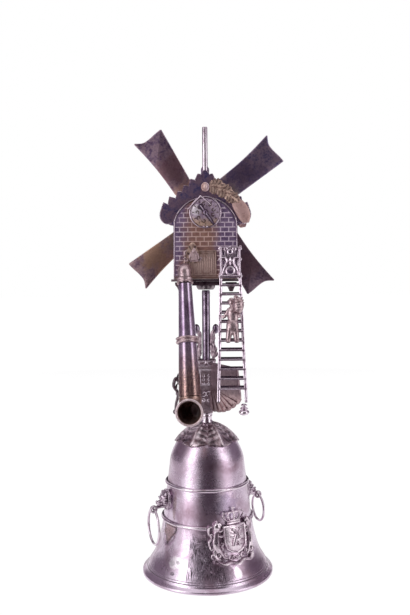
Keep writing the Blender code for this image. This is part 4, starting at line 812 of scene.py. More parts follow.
def leaf(bm, laid, lobes=4, thick=0.35, along=24, across=16, rib=0.28, lobing=0.24):
    """A lobed and veined leaf. laid(s, t, lift) places a point along, across and above it."""
    layer = bm.verts.layers.float.get("relief") or bm.verts.layers.float.new("relief")

    def veined(s, t, vert):
        notch = abs(math.sin(math.pi * lobes * s))
        vein = math.cos(2 * math.pi * (lobes * s - 0.5 - 0.55 * abs(t))) * abs(t)
        middle = math.exp(-(t / 0.14) ** 2)
        vert[layer] = max(0.0, min(1.0, 0.35 + 0.35 * vein + 0.5 * middle + 0.6 * t ** 8))
        lift = 0.34 * (1.0 - t * t) + rib * middle + 0.12 * vein
        return laid(s, t * (1.0 - lobing * (1.0 - notch)), lift)

    laid_sheet(bm, along, across, thick, veined)


def bell_point(radius, lift):
    """A point of the bell's outline near the crown, lifted off square to it."""
    for (r0, z0), (r1, z1) in zip(BELL, BELL[1:]):
        if r1 <= radius <= r0 and z0 > 50.0:
            share = (r0 - radius) / (r0 - r1)
            square = Vector((z1 - z0, r0 - r1)).normalized()
            return Vector((radius, z0 + (z1 - z0) * share)) + square * lift
    return Vector((radius, BELL[-1][1] + lift))


def worn_leaf(finish, point):
    """Black between a leaf's ribs and veins, from the relief that its mesh carries."""
    relief = finish.node("ShaderNodeAttribute", {"attribute_name": "relief"}, {}, 2)
    return finish.within(relief, 0.12, 0.50) * 0.74


leaf_silver = old_silver("leaf_silver", (0.72, 0.60, 0.66), (0.28, 0.18, 0.21), (0.12, 0.06, 0.06),
                         stained=0.62, patch=2.6, grain=0.04, rough=(0.20, 0.38), hollow=worn_leaf)
bm = bmesh.new()
for index in range(LEAF_COUNT):
    axis = math.radians((index + 0.5) * 360.0 / LEAF_COUNT)

    def on_crown(s, t, lift):
        radius = LEAF_FOOT_R + (LEAF_TIP_R - LEAF_FOOT_R) * s
        spread = LEAF_HALF_SPREAD * (1.0 - max(0.0, (s - 0.88) / 0.12) ** 3)
        place = bell_point(radius, 0.35 + lift + 0.25 * s ** 8)
        angle = axis + t * spread
        return (place.x * math.sin(angle), -place.x * math.cos(angle), place.y)

    leaf(bm, on_crown, 5, 0.3, 40, 24, lobing=0.12)
put_on("acanthus_calyx", bm, leaf_silver, ["calyx_leaves"], sharp=50.0)


# The stem: a turned collar, a four-sided cast pedestal with a panel on each side, two leafy
# arms that rise beside the mill's round post and end in balls, and the two-lobed corbel.
SOLDER_GAP = 0.3
CROWN_Z = 74.4
COLLAR_TOP = 79.3
PEDESTAL_TOP = 106.6
POST_TOP = 142.0
ARM_BALL_Z = 123.0
ARM_BALL_X = 4.9

bm = bmesh.new()
foot = CROWN_Z + SOLDER_GAP
turned(bm, [(0.0, foot), (2.95, foot), (2.95, foot + 0.6), (2.8, foot + 0.8), (2.7, foot + 1.2),
            (2.7, foot + 2.9), (2.8, foot + 3.2), (2.95, foot + 3.4), (2.8, foot + 3.9),
            (2.95, foot + 4.2), (2.95, COLLAR_TOP), (0.0, COLLAR_TOP)], 64)
put_on("turned_collar", bm, band_silver, ["stem_collar"])

cast_brown = old_silver("cast_brown", (0.66, 0.54, 0.60), (0.36, 0.26, 0.30), (0.15, 0.09, 0.09),
                        stained=0.56, patch=2.4, speck=0.4, grain=0.14, rough=(0.26, 0.44))
# The pedestal's outline: the share of its height, and half its width there
CORNER_R = 0.55
bm = bmesh.new()
foot = COLLAR_TOP + SOLDER_GAP
levels = [(0.0, 3.1), (0.02, 3.25), (0.10, 3.5), (0.13, 3.5), (0.17, 3.35), (0.22, 3.4), (0.25, 3.7),
          (0.28, 3.8), (0.36, 3.72), (0.50, 3.9), (0.52, 4.1), (0.56, 4.14), (0.90, 4.32), (0.915, 4.55),
          (0.94, 4.65), (0.955, 4.5), (0.965, 4.45), (0.975, 4.62), (0.99, 4.62), (1.0, 4.4)]
rows = []
for rise, half in levels:
    row = []
    for quarter in range(4):
        for share in range(5):
            angle = math.radians(quarter * 90.0 + share * 90.0 / 4)
            corner = Vector((half - CORNER_R, half - CORNER_R, foot + rise * (PEDESTAL_TOP - foot)))
            corner.rotate(Matrix.Rotation(quarter * math.pi / 2, 3, "Z"))
            eased_off = Vector((CORNER_R * math.cos(angle), CORNER_R * math.sin(angle), 0.0))
            row.append(bm.verts.new(corner + eased_off))
    rows.append([bm.edges.new(pair) for pair in closed_pairs(row)])
for lower, upper in zip(rows, rows[1:]):
    bmesh.ops.bridge_loops(bm, edges=lower + upper)
for row in (rows[0], rows[-1]):
    bmesh.ops.contextual_create(bm, geom=row)
put_on("cast_pedestal", bm, cast_brown, ["stem_pedestal"])

# The chasing on the pedestal's four sides: a double frame, two ledges, a fluted head, sprigs
# and fronds, all raised by the punch from the cast face and worn bright.
PANEL_HALF = 4.1
PANEL_LOW = 93.6
PANEL_HIGH = 102.6
SPRIG_DEPTH = 4.12
bm = bmesh.new()
for quarter in range(4):
    around_post = Matrix.Rotation(quarter * math.pi / 2, 4, "Z")

    def on_side(points, radii, depth):
        placed = [around_post @ Vector((x, -depth - 0.006 * (z - 90.0), z)) for x, z in points]
        drawn_bar(bm, placed, radii, 8)

    def curled(x, z, size, start, turn, radius, depth, steps):
        path = curl(x, z, size, 0.3 if steps > 8 else 0.2, start, turn, 0.0, steps)
        on_side([(x, z) for x, _, z in path], radius, depth)

    for inset, size in ((0.55, 0.2), (1.15, 0.13)):
        left, right = -PANEL_HALF + inset, PANEL_HALF - inset
        low, high = PANEL_LOW + inset, PANEL_HIGH - inset
        for ends in ([(left, low), (left, high)], [(right, low), (right, high)],
                     [(left, low), (right, low)], [(left, high), (right, high)]):
            on_side(ends, size, 4.13)
    for level in (103.9, 106.1):
        on_side([(-4.2, level), (4.2, level)], 0.2, 4.62)
    for way in (-1, 1):
        arc = [(way * 2.0 + 1.75 * math.cos(a), 105.9 + 1.6 * math.sin(a))
               for a in [math.pi + math.pi * step / 8 for step in range(9)]]
        on_side(arc, 0.26, 4.42)
        for step in range(3):
            curled(way * 1.5, 98.6 - 1.9 * step, 0.9, 90, way * 300, 0.2, SPRIG_DEPTH, 8)
        curled(way * 1.3, 89.8, 1.5, 240, way * -330, 0.3, 3.74, 10)
        curled(way * 1.6, 86.2, 1.1, 120, way * 330, 0.26, 3.6, 10)
put_on("pedestal_chasing", bm, band_silver)

dark_silver = old_silver("dark_silver", (0.36, 0.29, 0.37), (0.15, 0.10, 0.16), (0.07, 0.04, 0.06),
                         stained=0.55, patch=6.0, rough=(0.20, 0.40))
bm = bmesh.new()
turned(bm, [(0.0, 103.4), (2.0, 103.4), (2.05, 104.0), (2.05, POST_TOP - 0.8), (1.9, POST_TOP),
            (0.0, POST_TOP)], 48)
put_on("round_post", bm, dark_silver, ["mill_post"])

arm_brown = old_silver("arm_brown", (0.38, 0.29, 0.33), (0.18, 0.12, 0.15), (0.08, 0.04, 0.05),
                       stained=0.55, patch=2.6, speck=0.3, grain=0.12, rough=(0.26, 0.44))
# How each arm rises: the share of its height, and how far out it stands there
ARM_BENDS = ((0.0, 0.80), (0.16, 0.92), (0.34, 0.84), (0.50, 0.70), (0.74, 0.82), (1.0, 1.09))
ARM_OUT = 4.5
for side, way in (("left", -1), ("right", 1)):
    bm = bmesh.new()
    rise = ARM_BALL_Z - PEDESTAL_TOP
    stalk = fair([(way * ARM_OUT * out, 0.0, PEDESTAL_TOP + SOLDER_GAP + up * rise)
                  for up, out in ARM_BENDS], 5)
    drawn_bar(bm, stalk, [0.85 - 0.3 * step / len(stalk) for step in range(len(stalk))], 12)
    inner = fair([(way * 3.9, -0.3, PEDESTAL_TOP + 5.4), (way * 3.0, -0.6, PEDESTAL_TOP + 8.4),
                  (way * 3.2, -0.7, PEDESTAL_TOP + 11.4), (way * 4.4, -0.4, PEDESTAL_TOP + 13.8)], 5)
    drawn_bar(bm, inner, 0.4, 8)
    for start, end, out in ((1.2, 9.6, 1.9), (7.4, 14.8, 1.7)):

        def on_stalk(s, t, lift):
            last = len(stalk) - 1
            index = (start + (end - start) * s) / rise * last
            base = Vector(stalk[int(index)])
            base = base.lerp(Vector(stalk[min(int(index) + 1, last)]), index % 1)
            width = out * math.sin(math.pi * min(1.0, 0.12 + 0.88 * s)) ** 0.6
            side_x = max(2.25, abs(base.x) - 0.3 + t * width)
            return Vector((way * side_x, base.y - 0.9 - lift * 1.2, base.z + 0.8 * abs(t)))

        leaf(bm, on_stalk, 3, 0.3, 16, 10)
    scroll = curl(way * 4.3, PEDESTAL_TOP + 3.0, 1.6, 0.4, 270, way * 400, 0.4)
    drawn_bar(bm, scroll, tapered(scroll, 0.45, 0.24), 8)
    put_on(side + "_leafy_arm", bm, arm_brown, [side + "_volute_arm"], sharp=50.0)
    bm = bmesh.new()
    bead(bm, (way * ARM_BALL_X, 0.0, ARM_BALL_Z - 0.8), 1.0, (1.7, 1.7, 2.5), 28)
    put_on(side + "_arm_ball", bm, dark_silver)

grey_cast = old_silver("grey_cast", (0.36, 0.31, 0.33), (0.20, 0.16, 0.18), (0.08, 0.06, 0.06),
                       patch=3.0, grain=0.1, rough=(0.34, 0.55))
CORBEL_LOW = 142.3
CORBEL_HIGH = 144.35
bm = bmesh.new()
for way in (-1, 1):
    bead(bm, (way * 2.3, 0.0, 144.2), 2.4, (1.04, 1, 0.98), 28)
drawn_bar(bm, [(0.0, 0.0, CORBEL_LOW + 0.05), (0.0, 0.0, CORBEL_HIGH)], 2.3, 28)
for level, outwards in ((CORBEL_HIGH, 1), (CORBEL_LOW, -1)):
    bmesh.ops.bisect_plane(bm, geom=bm.verts[:] + bm.edges[:] + bm.faces[:],
                           plane_co=(0, 0, level), plane_no=(0, 0, outwards), clear_outer=True)
bmesh.ops.holes_fill(bm, edges=bm.edges)
put_on("lobed_corbel", bm, grey_cast, ["post_corbel"])


# The mill's floor: a thin plate with a ledge round it, a plinth below and two brackets.
# It lies in the house's own shade, and its near-black colour is old tarnish and painted shade.
FLOOR_Z = 147.4
HOUSE_HALF = 15.65
REAR_Y = -17.0
FRONT_Y = 16.0


def box(bm, low, high, bevel=0.0, place=Matrix()):
    """A block between two corners, with its edges eased."""
    size = [b - a for a, b in zip(low, high)]
    middle = [(a + b) / 2 for a, b in zip(low, high)]
    made = bmesh.ops.create_cube(bm, size=1.0, matrix=place @ Matrix.Translation(middle)
                                 @ Matrix.Diagonal((*size, 1.0)))
    if bevel:
        bmesh.ops.bevel(bm, geom=linked(made["verts"]), offset=bevel, segments=2, affect="EDGES",
                        profile=0.5, material=-1)


# Old tarnish and painted shade make the floor, the plinth and the brackets nearly black
black_tarnish_and_painted_shade = old_silver("black_tarnish_and_painted_shade", (0.22, 0.16, 0.18), (0.09, 0.05, 0.07), (0.04, 0.02, 0.02),
                          stained=0.6, patch=6.0, grain=0.06, rough=(0.42, 0.60))
bm = bmesh.new()
box(bm, (-16.85, -18.2, 146.5), (16.85, 16.6, FLOOR_Z + 0.24), 0.08)
put_on("mill_floor", bm, black_tarnish_and_painted_shade, ["floor_plate"])
bm = bmesh.new()
box(bm, (-6.9, -6.9, 144.42), (6.9, 6.9, 146.44), 0.05)
put_on("mill_plinth", bm, black_tarnish_and_painted_shade, ["floor_plinth"])
for side, way in (("left", -1), ("right", 1)):
    bm = bmesh.new()
    half = [(0.0, 141.5), (0.9, 141.6), (1.1, 142.4), (1.6, 143.6), (2.6, 144.8), (2.72, 146.1),
            (0.0, 146.1)]
    slab(bm, mirrored(half), 9.4, 14.6, 0.2)
    bmesh.ops.translate(bm, verts=bm.verts, vec=(way * 12.5, 0.0, 0.0))
    put_on(side + "_floor_corbel", bm, black_tarnish_and_painted_shade, [side + "_floor_bracket"])


# The mill house: four walls of thin sheet chased as brickwork in running bond, with a wire
# round the gable. The brick faces are dark, gold-brown where the middle of the wall is worn,
# and the joints stand up between them and are rubbed bright.
SHOULDER_Z = 175.8
ROOF_TOP = 188.0
ROOF_R = (HOUSE_HALF ** 2 + 12.2 ** 2) / (2 * 12.2)
ROOF_MIDDLE = ROOF_TOP - ROOF_R
COURSE = 2.32
BRICK_LENGTH = 4.0
JOINT = 0.5
JOINT_PROUD = 0.12
WALL = 0.8
HOLE_R = 2.6
# The windshaft's hole in each end wall is at this height
HOLE_Z = {"rear_wall": 180.2, "front_wall": 183.32}
# Each wall's outer face: its place and the quarter turns from facing the camera
WALL_PLACES = {"rear_wall": (0.0, REAR_Y, 0), "front_wall": (0.0, FRONT_Y, 2),
               "left_side_wall": (-HOUSE_HALF, 0.0, -1), "right_side_wall": (HOUSE_HALF, 0.0, 1)}


def arc_points(radius, count, start, end, middle_z=ROOF_MIDDLE):
    """Points of an arc about the roof's axis, in degrees from the level."""
    angles = [math.radians(start + (end - start) * step / (count - 1)) for step in range(count)]
    return [(radius * math.cos(a), middle_z + radius * math.sin(a)) for a in angles]


def gold_middle(dull, bright):
    """Brown and gold in the middle of the rear wall, blue and purple towards its edges."""

    def tint(finish, point, colour):
        x, _, z = finish.parts(point)
        cloud = finish.noise(point, 0.16, 3.0, 0.6)
        worn = finish.within(abs(x + 2.6) + cloud * 8.0 + (z - 160.0) * 0.12, 9.0, 16.0)
        gold = finish.blend(finish.noise(point, 0.5, 4.0, 0.7), dull, bright)
        return finish.blend(worn * 0.80, colour, gold)

    return tint


def joints(bm, half, foot, top, place=Matrix(), arched=False, panel=None):
    """The raised joints between the bricks of one wall, cut to its outline."""
    for row in range(int((top - foot) / COURSE) + 1):
        low = foot + row * COURSE
        hidden = panel if panel and low < panel[2] else None
        spans = [(-half, hidden[0]), (hidden[1], half)] if hidden else [(-half, half)]
        for start, end in spans:
            box(bm, (start, -JOINT_PROUD, low - JOINT / 2), (end, 0.1, low + JOINT / 2), 0.05)
        upright = -half + (0.5 if row % 2 else 1.0) * BRICK_LENGTH
        while upright < half - 0.5:
            if low + COURSE < top and not (hidden and hidden[0] < upright < hidden[1]):
                box(bm, (upright - JOINT / 2, -JOINT_PROUD, low + JOINT / 2 - 0.02),
                    (upright + JOINT / 2, 0.1, low + COURSE - JOINT / 2 + 0.02))
            upright += BRICK_LENGTH
    if arched:
        for step in range(25):
            angle = math.radians(7.5 * step)
            way = Vector((math.cos(angle), 0.0, math.sin(angle)))
            bmesh.ops.bisect_plane(bm, geom=bm.verts[:] + bm.edges[:] + bm.faces[:], dist=0.001,
                                   plane_co=way * (ROOF_R - 1.75) + Vector((0, 0, ROOF_MIDDLE)),
                                   plane_no=way, clear_outer=0.2 < angle < 2.9)
        bmesh.ops.holes_fill(bm, edges=bm.edges)
    bmesh.ops.transform(bm, matrix=place, verts=bm.verts)


joint_silver = tinted(old_silver("joint_silver", (0.84, 0.70, 0.82), (0.64, 0.49, 0.62),
                                 (0.28, 0.19, 0.24), patch=2.6, speck=0.3, grain=0.05,
                                 rough=(0.48, 0.64), metal=0.6),
                      gold_middle((0.52, 0.31, 0.25), (0.88, 0.60, 0.48)))
brick_silver = tinted(old_silver("brick_silver", (0.28, 0.19, 0.32), (0.13, 0.08, 0.17),
                                 (0.06, 0.03, 0.06), patch=6.0, speck=0.3, grain=0.10,
                                 rough=(0.42, 0.62), metal=0.6),
                      gold_middle((0.20, 0.09, 0.06), (0.58, 0.31, 0.20)))
wire_silver = old_silver("wire_silver", (0.68, 0.57, 0.65), (0.42, 0.31, 0.38), stained=0.46,
                         patch=4.0, rough=(0.18, 0.34))


def roof_arc(radius, count):
    """The roof's arc at a radius, from the top of one side wall to that of the other."""
    level = math.degrees(math.asin((SHOULDER_Z - ROOF_MIDDLE) / radius))
    return arc_points(radius, count, level, 180.0 - level)


gable = [(-HOUSE_HALF, FLOOR_Z + SOLDER_GAP), (HOUSE_HALF, FLOOR_Z + SOLDER_GAP),
         (HOUSE_HALF, SHOULDER_Z - SOLDER_GAP), *roof_arc(ROOF_R - 1.0, 41),
         (-HOUSE_HALF, SHOULDER_Z - SOLDER_GAP)]
for name, back in (("rear_wall", -REAR_Y - WALL), ("front_wall", -FRONT_Y)):
    bm = bmesh.new()
    slab(bm, gable, back, back + WALL, holes=[oval(HOLE_R, HOLE_R, 32, 0.0, HOLE_Z[name])])
    put_on(name + "_sheet", bm, brick_silver, [name])
for name, (x, y, quarters) in WALL_PLACES.items():
    place = Matrix.Translation((x, y, 0.0)) @ Matrix.Rotation(quarters * math.pi / 2, 4, "Z")
    bm = bmesh.new()
    end = name in HOLE_Z
    joints(bm, HOUSE_HALF - 1.0, FLOOR_Z + 2.4, ROOF_TOP if end else SHOULDER_Z - 0.6, place, end,
           (-10.4, 5.4, 161.8) if name == "rear_wall" else None)
    put_on(name + "_joints", bm, joint_silver)
for name, way in (("left_side_wall", -1), ("right_side_wall", 1)):
    low, high = sorted((way * (HOUSE_HALF - WALL), way * HOUSE_HALF))
    bm = bmesh.new()
    box(bm, (low, REAR_Y + 1.1, FLOOR_Z + SOLDER_GAP), (high, FRONT_Y - 1.1, SHOULDER_Z - SOLDER_GAP))
    put_on(name + "_sheet", bm, brick_silver, [name])

bm = bmesh.new()
for depth in (17.12, -16.12):
    edge = [(HOUSE_HALF - 0.2, FLOOR_Z + 0.4), *roof_arc(ROOF_R - 0.45, 41),
            (-HOUSE_HALF + 0.2, FLOOR_Z + 0.4)]
    drawn_bar(bm, [(x, -depth, z) for x, z in edge], 0.26)
put_on("gable_wires", bm, wire_silver)


# The panel low in the rear wall: a reeded sheet framed by two wires, soldered on between the
# brickwork's lowest courses, with two wires across the wall below it. It is worn to gold-brown.
REEDING_LEFT = -10.2
REEDING_RIGHT = 5.0
REEDING_LOW = FLOOR_Z + 2.4
REEDING_HIGH = 161.4
REEDS = 13
panel_gold = old_silver("panel_gold", (0.56, 0.40, 0.36), (0.35, 0.22, 0.19), (0.15, 0.09, 0.08),
                        patch=4.0, speck=0.3, grain=0.06, rough=(0.42, 0.60), metal=0.6)
bm = bmesh.new()
box(bm, (-10.4, REAR_Y - 0.12, FLOOR_Z + 1.9), (5.2, REAR_Y + 0.1, 161.6))
for step in range(REEDS):
    x = -10.0 + 1.08 * step
    top = REEDING_HIGH - 1.2 - 0.06 * (step - 6) ** 2
    drawn_bar(bm, [(x, REAR_Y - 0.10, REEDING_LOW + 0.4), (x, REAR_Y - 0.10, top)], 0.22, 8)
for height in (FLOOR_Z + 0.5, FLOOR_Z + 1.35):
    ends = [(way * (HOUSE_HALF - 0.3), REAR_Y - 0.12, height) for way in (-1, 1)]
    drawn_bar(bm, ends, 0.24, 8)
for inset, size in ((0.0, 0.22), (0.95, 0.14)):
    left, right = REEDING_LEFT + inset, REEDING_RIGHT - inset
    low, high = REEDING_LOW + inset, REEDING_HIGH - inset
    corners = [(x, REAR_Y - 0.35, z) for x, z in ((left, low), (right, low), (right, high), (left, high))]
    for start, end in closed_pairs(corners):
        drawn_bar(bm, [start, end], size, 8)
put_on("reeded_panel", bm, panel_gold)


# The barrel roof: one bent sheet with a wire along each end, and the two gable crests that
# stand on it. Each crest is sawn from sheet with toothed leaf edges. Its left half is smooth
# and dark, and leaves are chased on its right half, down to an oval lobe.
CREST_TEETH = [(55.5, 6.2), (47.0, 8.0), (43.0, 5.3), (35.0, 7.2), (31.5, 5.8), (25.5, 8.1),
               (20.5, 6.9), (16.0, 10.0), (11.5, 8.9), (7.5, 11.7), (4.5, 11.3)]
CREST_LOBES = {"rear": [(80.5, 3.3), (77.5, 6.0), (71.0, 7.6), (64.0, 8.0), (56.5, 8.6)],
               "front": [(75.0, 3.2), (72.0, 5.4), (65.0, 6.6), (57.5, 7.4)]}
CREST_TIPS = {"rear": [(0.0, 13.6)], "front": [(3.4, 15.6), (3.4, 18.4), (1.4, 20.4), (0.0, 21.8)]}
CREST_FEET = {"rear": 0.0, "front": -0.6}
CREST_DEPTHS = {"rear": (14.6, 15.4), "front": (-14.4, -13.6)}
ROOF_SHEET = 0.7
# Each chased leaf: the turns of its foot and tip from the ridge, its height and half its width
CREST_LEAVES = ((5.0, 24.0, 5.2, 4.3), (16.0, 38.0, 4.4, 3.9), (30.0, 52.0, 3.8, 3.3))

roof_silver = old_silver("roof_silver", (0.50, 0.42, 0.48), (0.24, 0.17, 0.23), (0.09, 0.05, 0.07),
                         stained=0.55, patch=7.0, grain=0.03)
bm = bmesh.new()
low = math.degrees(math.asin((SHOULDER_Z - ROOF_MIDDLE) / ROOF_R))
inner = arc_points(ROOF_R - ROOF_SHEET, 49, low, 180.0 - low)
slab(bm, [*roof_arc(ROOF_R, 49), *reversed(inner)], -FRONT_Y, -REAR_Y)
put_on("barrel_roof", bm, roof_silver, ["roof_sheet"])


def crest_reach(degrees, proud):
    """A point of a crest: degrees from the ridge, and how far it stands off the roof."""
    angle = math.radians(degrees)
    reach = ROOF_R + proud
    return (reach * math.sin(angle), ROOF_MIDDLE + reach * math.cos(angle))


crest_dark = old_silver("crest_dark", (0.42, 0.28, 0.38), (0.13, 0.11, 0.26), (0.05, 0.04, 0.10),
                        stained=0.55, patch=4.5, speck=0.3, grain=0.08, rough=(0.30, 0.48), metal=0.9)
crest_gold = old_silver("crest_gold", (0.66, 0.46, 0.38), (0.26, 0.15, 0.13), (0.06, 0.03, 0.04),
                        stained=0.62, patch=2.0, speck=0.4, grain=0.08, rough=(0.30, 0.50),
                        hollow=worn_leaf, metal=0.6)
copper_pink = old_silver("copper_pink", (0.96, 0.64, 0.60), (0.66, 0.38, 0.34), (0.30, 0.15, 0.12),
                         stained=0.42, patch=2.6, speck=0.3, grain=0.10, rough=(0.32, 0.48), metal=0.7)
for side, (back, front) in CREST_DEPTHS.items():
    seat_turn = 90.0 - low
    foot = (HOUSE_HALF + SOLDER_GAP, SHOULDER_Z - CREST_FEET[side])
    half = [*[crest_reach(seat_turn * step / 24, SOLDER_GAP) for step in range(25)],
            (HOUSE_HALF + SOLDER_GAP, SHOULDER_Z - 0.4), foot]
    edge = fair([foot, *[crest_reach(*spot) for spot in CREST_LOBES[side]]], 4)[1:]
    teeth = [crest_reach(*spot) for spot in CREST_TEETH + CREST_TIPS[side]]
    bm = bmesh.new()
    slab(bm, mirrored([*half, *edge, *teeth]), back, front, 0.12)
    put_on(side + "_crest_plate", bm, crest_dark, [side + "_crest"])
    bm = bmesh.new()
    outline = [*edge, *teeth]
    face = -front if side == "rear" else -back
    away = -1.0 if side == "rear" else 1.0
    for way in (-1, 1):
        line = [(way * x * 0.992, face + away * 0.02, z - 0.25) for x, z in outline]
        for start, end in zip(line, line[1:]):
            drawn_bar(bm, [start, end], 0.22, 6)
            bead(bm, start, 0.24, detail=6)
    put_on(side + "_crest_edge", bm, wire_silver)
    bm = bmesh.new()
    for foot_turn, tip_turn, reach, wide in CREST_LEAVES:

        def on_crest(s, t, lift):
            degrees = foot_turn + (tip_turn - foot_turn) * s
            width = wide * math.sin(math.pi * min(1.0, 0.10 + 0.9 * s)) ** 0.7
            x, z = crest_reach(degrees, reach + t * width + 1.2 * s)
            return (x, face + away * (0.25 + 1.3 * lift), z)

        leaf(bm, on_crest, 5, 0.3, 30, 14)
    put_on(side + "_crest_leaves", bm, crest_gold, sharp=50.0)
    bm = bmesh.new()

    def on_lobe(s, t, vert):
        width = 3.4 * math.sin(math.pi * min(1.0, 0.1 + 0.85 * s)) ** 0.5
        x, z = crest_reach(45.0 + 36.0 * s, 4.1 + t * width)
        swell = 0.5 * max(0.0, 1.0 - t * t) * math.sin(math.pi * s) ** 0.5
        return (x, face + away * (0.2 + swell), z)

    laid_sheet(bm, 24, 16, 0.3, on_lobe)
    put_on(side + "_crest_lobe", bm, copper_pink, sharp=50.0)

bm = bmesh.new()
turned(bm, [(0.0, 0.0), (2.3, 0.0), (2.3, 0.4), (1.9, 0.75), (1.55, 0.7), (1.45, 0.9), (1.35, 1.3),
            (0.9, 1.75), (0.0, 2.0)], 48,
       place=Matrix.Translation((0.0, -15.7, 192.8)) @ Matrix.Diagonal((0.86, 1.0, 1.0, 1.0))
       @ TO_FRONT)
put_on("oval_boss", bm, joint_silver, ["crest_boss"])


# The pole on the ridge: a polished tube that stands in a turned socket, which is soldered
# over the roof's top. It is closed at its upper end.
bm = bmesh.new()
turned(bm, [(0.0, 188.3), (2.6, 188.3), (2.6, 188.9), (2.2, 189.3), (1.9, 189.9), (2.0, 190.6),
            (1.9, 191.5), (0.0, 191.5)], 40)
put_on("turned_pole_socket", bm, band_silver, ["pole_socket"])
bm = bmesh.new()
turned(bm, [(0.0, 191.8), (1.35, 191.8), (1.35, 225.1), (1.1, 225.5), (0.0, 225.5)], 40)
put_on("polished_pole", bm, band_silver, ["ridge_pole"])


# The dial on the rear wall: a mottled disc under a thin wire ring with raised hour strokes,
# an inverted V of wire above it, and the dart-shaped hand on the end of the windshaft.
DIAL_Z = 180.2
SHAFT_TILT = math.radians(5.4)
ROTOR = Matrix.Translation((0.0, REAR_Y, DIAL_Z)) @ Matrix.Rotation(SHAFT_TILT, 4, "X")
DIAL_R = 6.9
SHAFT_HOLE_R = 1.6
HOURS = 12
SCROLLS = 9


def gilded_foot_and_painted_highlight(finish, point, colour):
    """The dial is gilded by age at its foot and has a painted highlight, a near-white patch, at its left.
    """
    x, _, z = finish.parts(point)
    cloud = finish.noise(point, 0.5, 3.0, 0.6)
    low = finish.within(z + cloud * 4.0, 177.0, 180.5)
    colour = finish.blend(low * 0.75, colour, (0.62, 0.41, 0.26))
    # The painted highlight at the dial's left
    across = x + 4.4
    up = z - 181.4
    dial_painted_highlight = finish.within(across * across + up * up + cloud * 5.0, 4.5, 13.0)
    return finish.blend(dial_painted_highlight * 0.9, colour, (1.0, 0.90, 0.98))


dial_silver = tinted(old_silver("dial_silver", (0.66, 0.52, 0.62), (0.27, 0.17, 0.31),
                                (0.30, 0.15, 0.09), stained=0.58, patch=1.8, speck=0.5, grain=0.30,
                                rough=(0.38, 0.56), metal=0.6), gilded_foot_and_painted_highlight)
bm = bmesh.new()
slab(bm, oval(DIAL_R, DIAL_R, 64, 0.0, DIAL_Z), 17.3, 17.7, 0.1,
     [oval(SHAFT_HOLE_R, SHAFT_HOLE_R, 24, 0.0, DIAL_Z)])
put_on("dial_face", bm, dial_silver, ["dial_plate"])
bm = bmesh.new()
for hour in range(HOURS):
    angle = 2 * math.pi * hour / HOURS
    ends = [(r * math.sin(angle), -17.72, DIAL_Z + r * math.cos(angle)) for r in (5.3, 6.4)]
    drawn_bar(bm, ends, [0.17, 0.22], 6)
for index in range(SCROLLS):
    angle = math.radians(70.0 + 360.0 / SCROLLS * index)
    centre = (4.1 * math.sin(angle), DIAL_Z + 4.1 * math.cos(angle))
    scroll = curl(*centre, 1.1, 0.3, 60 * index, 300 if index % 2 else -300, 17.75, 10)
    drawn_bar(bm, scroll, 0.24, 6)
put_on("dial_chasing", bm, crest_gold)
bm = bmesh.new()
turned(bm, oval(0.35, 0.35, 12, 7.55), ring=True,
       place=Matrix.Translation((0.0, -17.66, DIAL_Z)) @ TO_FRONT)
for x in (-0.85, 0.85):
    bead(bm, (x, -17.75, DIAL_Z - DIAL_R), 0.5, detail=12)
put_on("dial_wire", bm, wire_silver, ["dial_ring"])
bm = bmesh.new()
for way, out, drop in ((-1, 6.4, 6.6), (1, 5.0, 4.4)):
    drawn_bar(bm, [(-2.2, -18.1, 188.3), (-2.2 + way * out, -18.1, 188.3 - drop)], [0.34, 0.3], 8)
put_on("dial_gable_wires", bm, wire_silver)

HAND_TURN = math.radians(144.0)
bm = bmesh.new()
half = [(0.0, -4.8), (1.5, -4.6), (1.2, -3.0), (0.85, -1.4), (0.95, 1.2), (0.7, 4.8), (0.45, 6.5),
        (0.0, 7.6)]
slab(bm, mirrored(half), 2.2, 2.8, 0.12)
for start, end in zip(half, half[1:]):
    for way in (-1, 1):
        drawn_bar(bm, [(way * x * 0.9, -2.8, z * 0.98) for x, z in (start, end)], 0.2, 6)
drawn_bar(bm, [(0.0, -2.8, -4.2), (0.0, -2.8, 6.4)], [0.26, 0.16], 6)
bmesh.ops.transform(bm, matrix=ROTOR @ Matrix.Rotation(HAND_TURN, 4, "Y"), verts=bm.verts)
turned(bm, [(0.0, 0.0), (1.0, 0.0), (1.0, 0.4), (0.6, 0.7), (0.0, 0.8)], 32,
       place=ROTOR @ Matrix.Translation((0.0, -2.8, 0.0)) @ TO_FRONT)
put_on("dart_hand", bm, dark_silver, ["dial_hand"], body="rotor")


# The sails: four swallow-tailed blades of thin sheet, let into the hub's groove. Heat and
# air have stained each one differently, from blue and purple to brown and copper.
# Each sail: its angle, its width at the neck, its pale, stained and deepest colour, and the
# colour that heat has left at its neck and along its middle
SAILS = {"upper_right": (39.2, 12.2, (0.42, 0.30, 0.40), (0.09, 0.08, 0.20), (0.20, 0.09, 0.13),
                         (0.44, 0.35, 0.31), (0.15, 0.10, 0.19)),
         "upper_left": (124.4, 10.4, (0.44, 0.30, 0.37), (0.11, 0.07, 0.16), (0.18, 0.08, 0.09),
                        (0.72, 0.44, 0.36), (0.27, 0.13, 0.14)),
         "lower_left": (220.0, 9.8, (0.38, 0.25, 0.26), (0.16, 0.10, 0.15), (0.22, 0.10, 0.08),
                        (0.25, 0.19, 0.12), (0.46, 0.27, 0.16)),
         "lower_right": (303.6, 11.2, (0.30, 0.20, 0.25), (0.08, 0.05, 0.10), (0.10, 0.05, 0.06),
                         (0.16, 0.09, 0.12), (0.20, 0.11, 0.13))}
SAIL_OFFSET = 39.3
SAIL_TIP = 51.6
SAIL_TIP_WIDTH = 16.0
SAIL_SHIFT = 2.5
SAIL_NECK = 17.0
SAIL_SHEET = 0.7
HOLLOW_DEPTH = 0.9


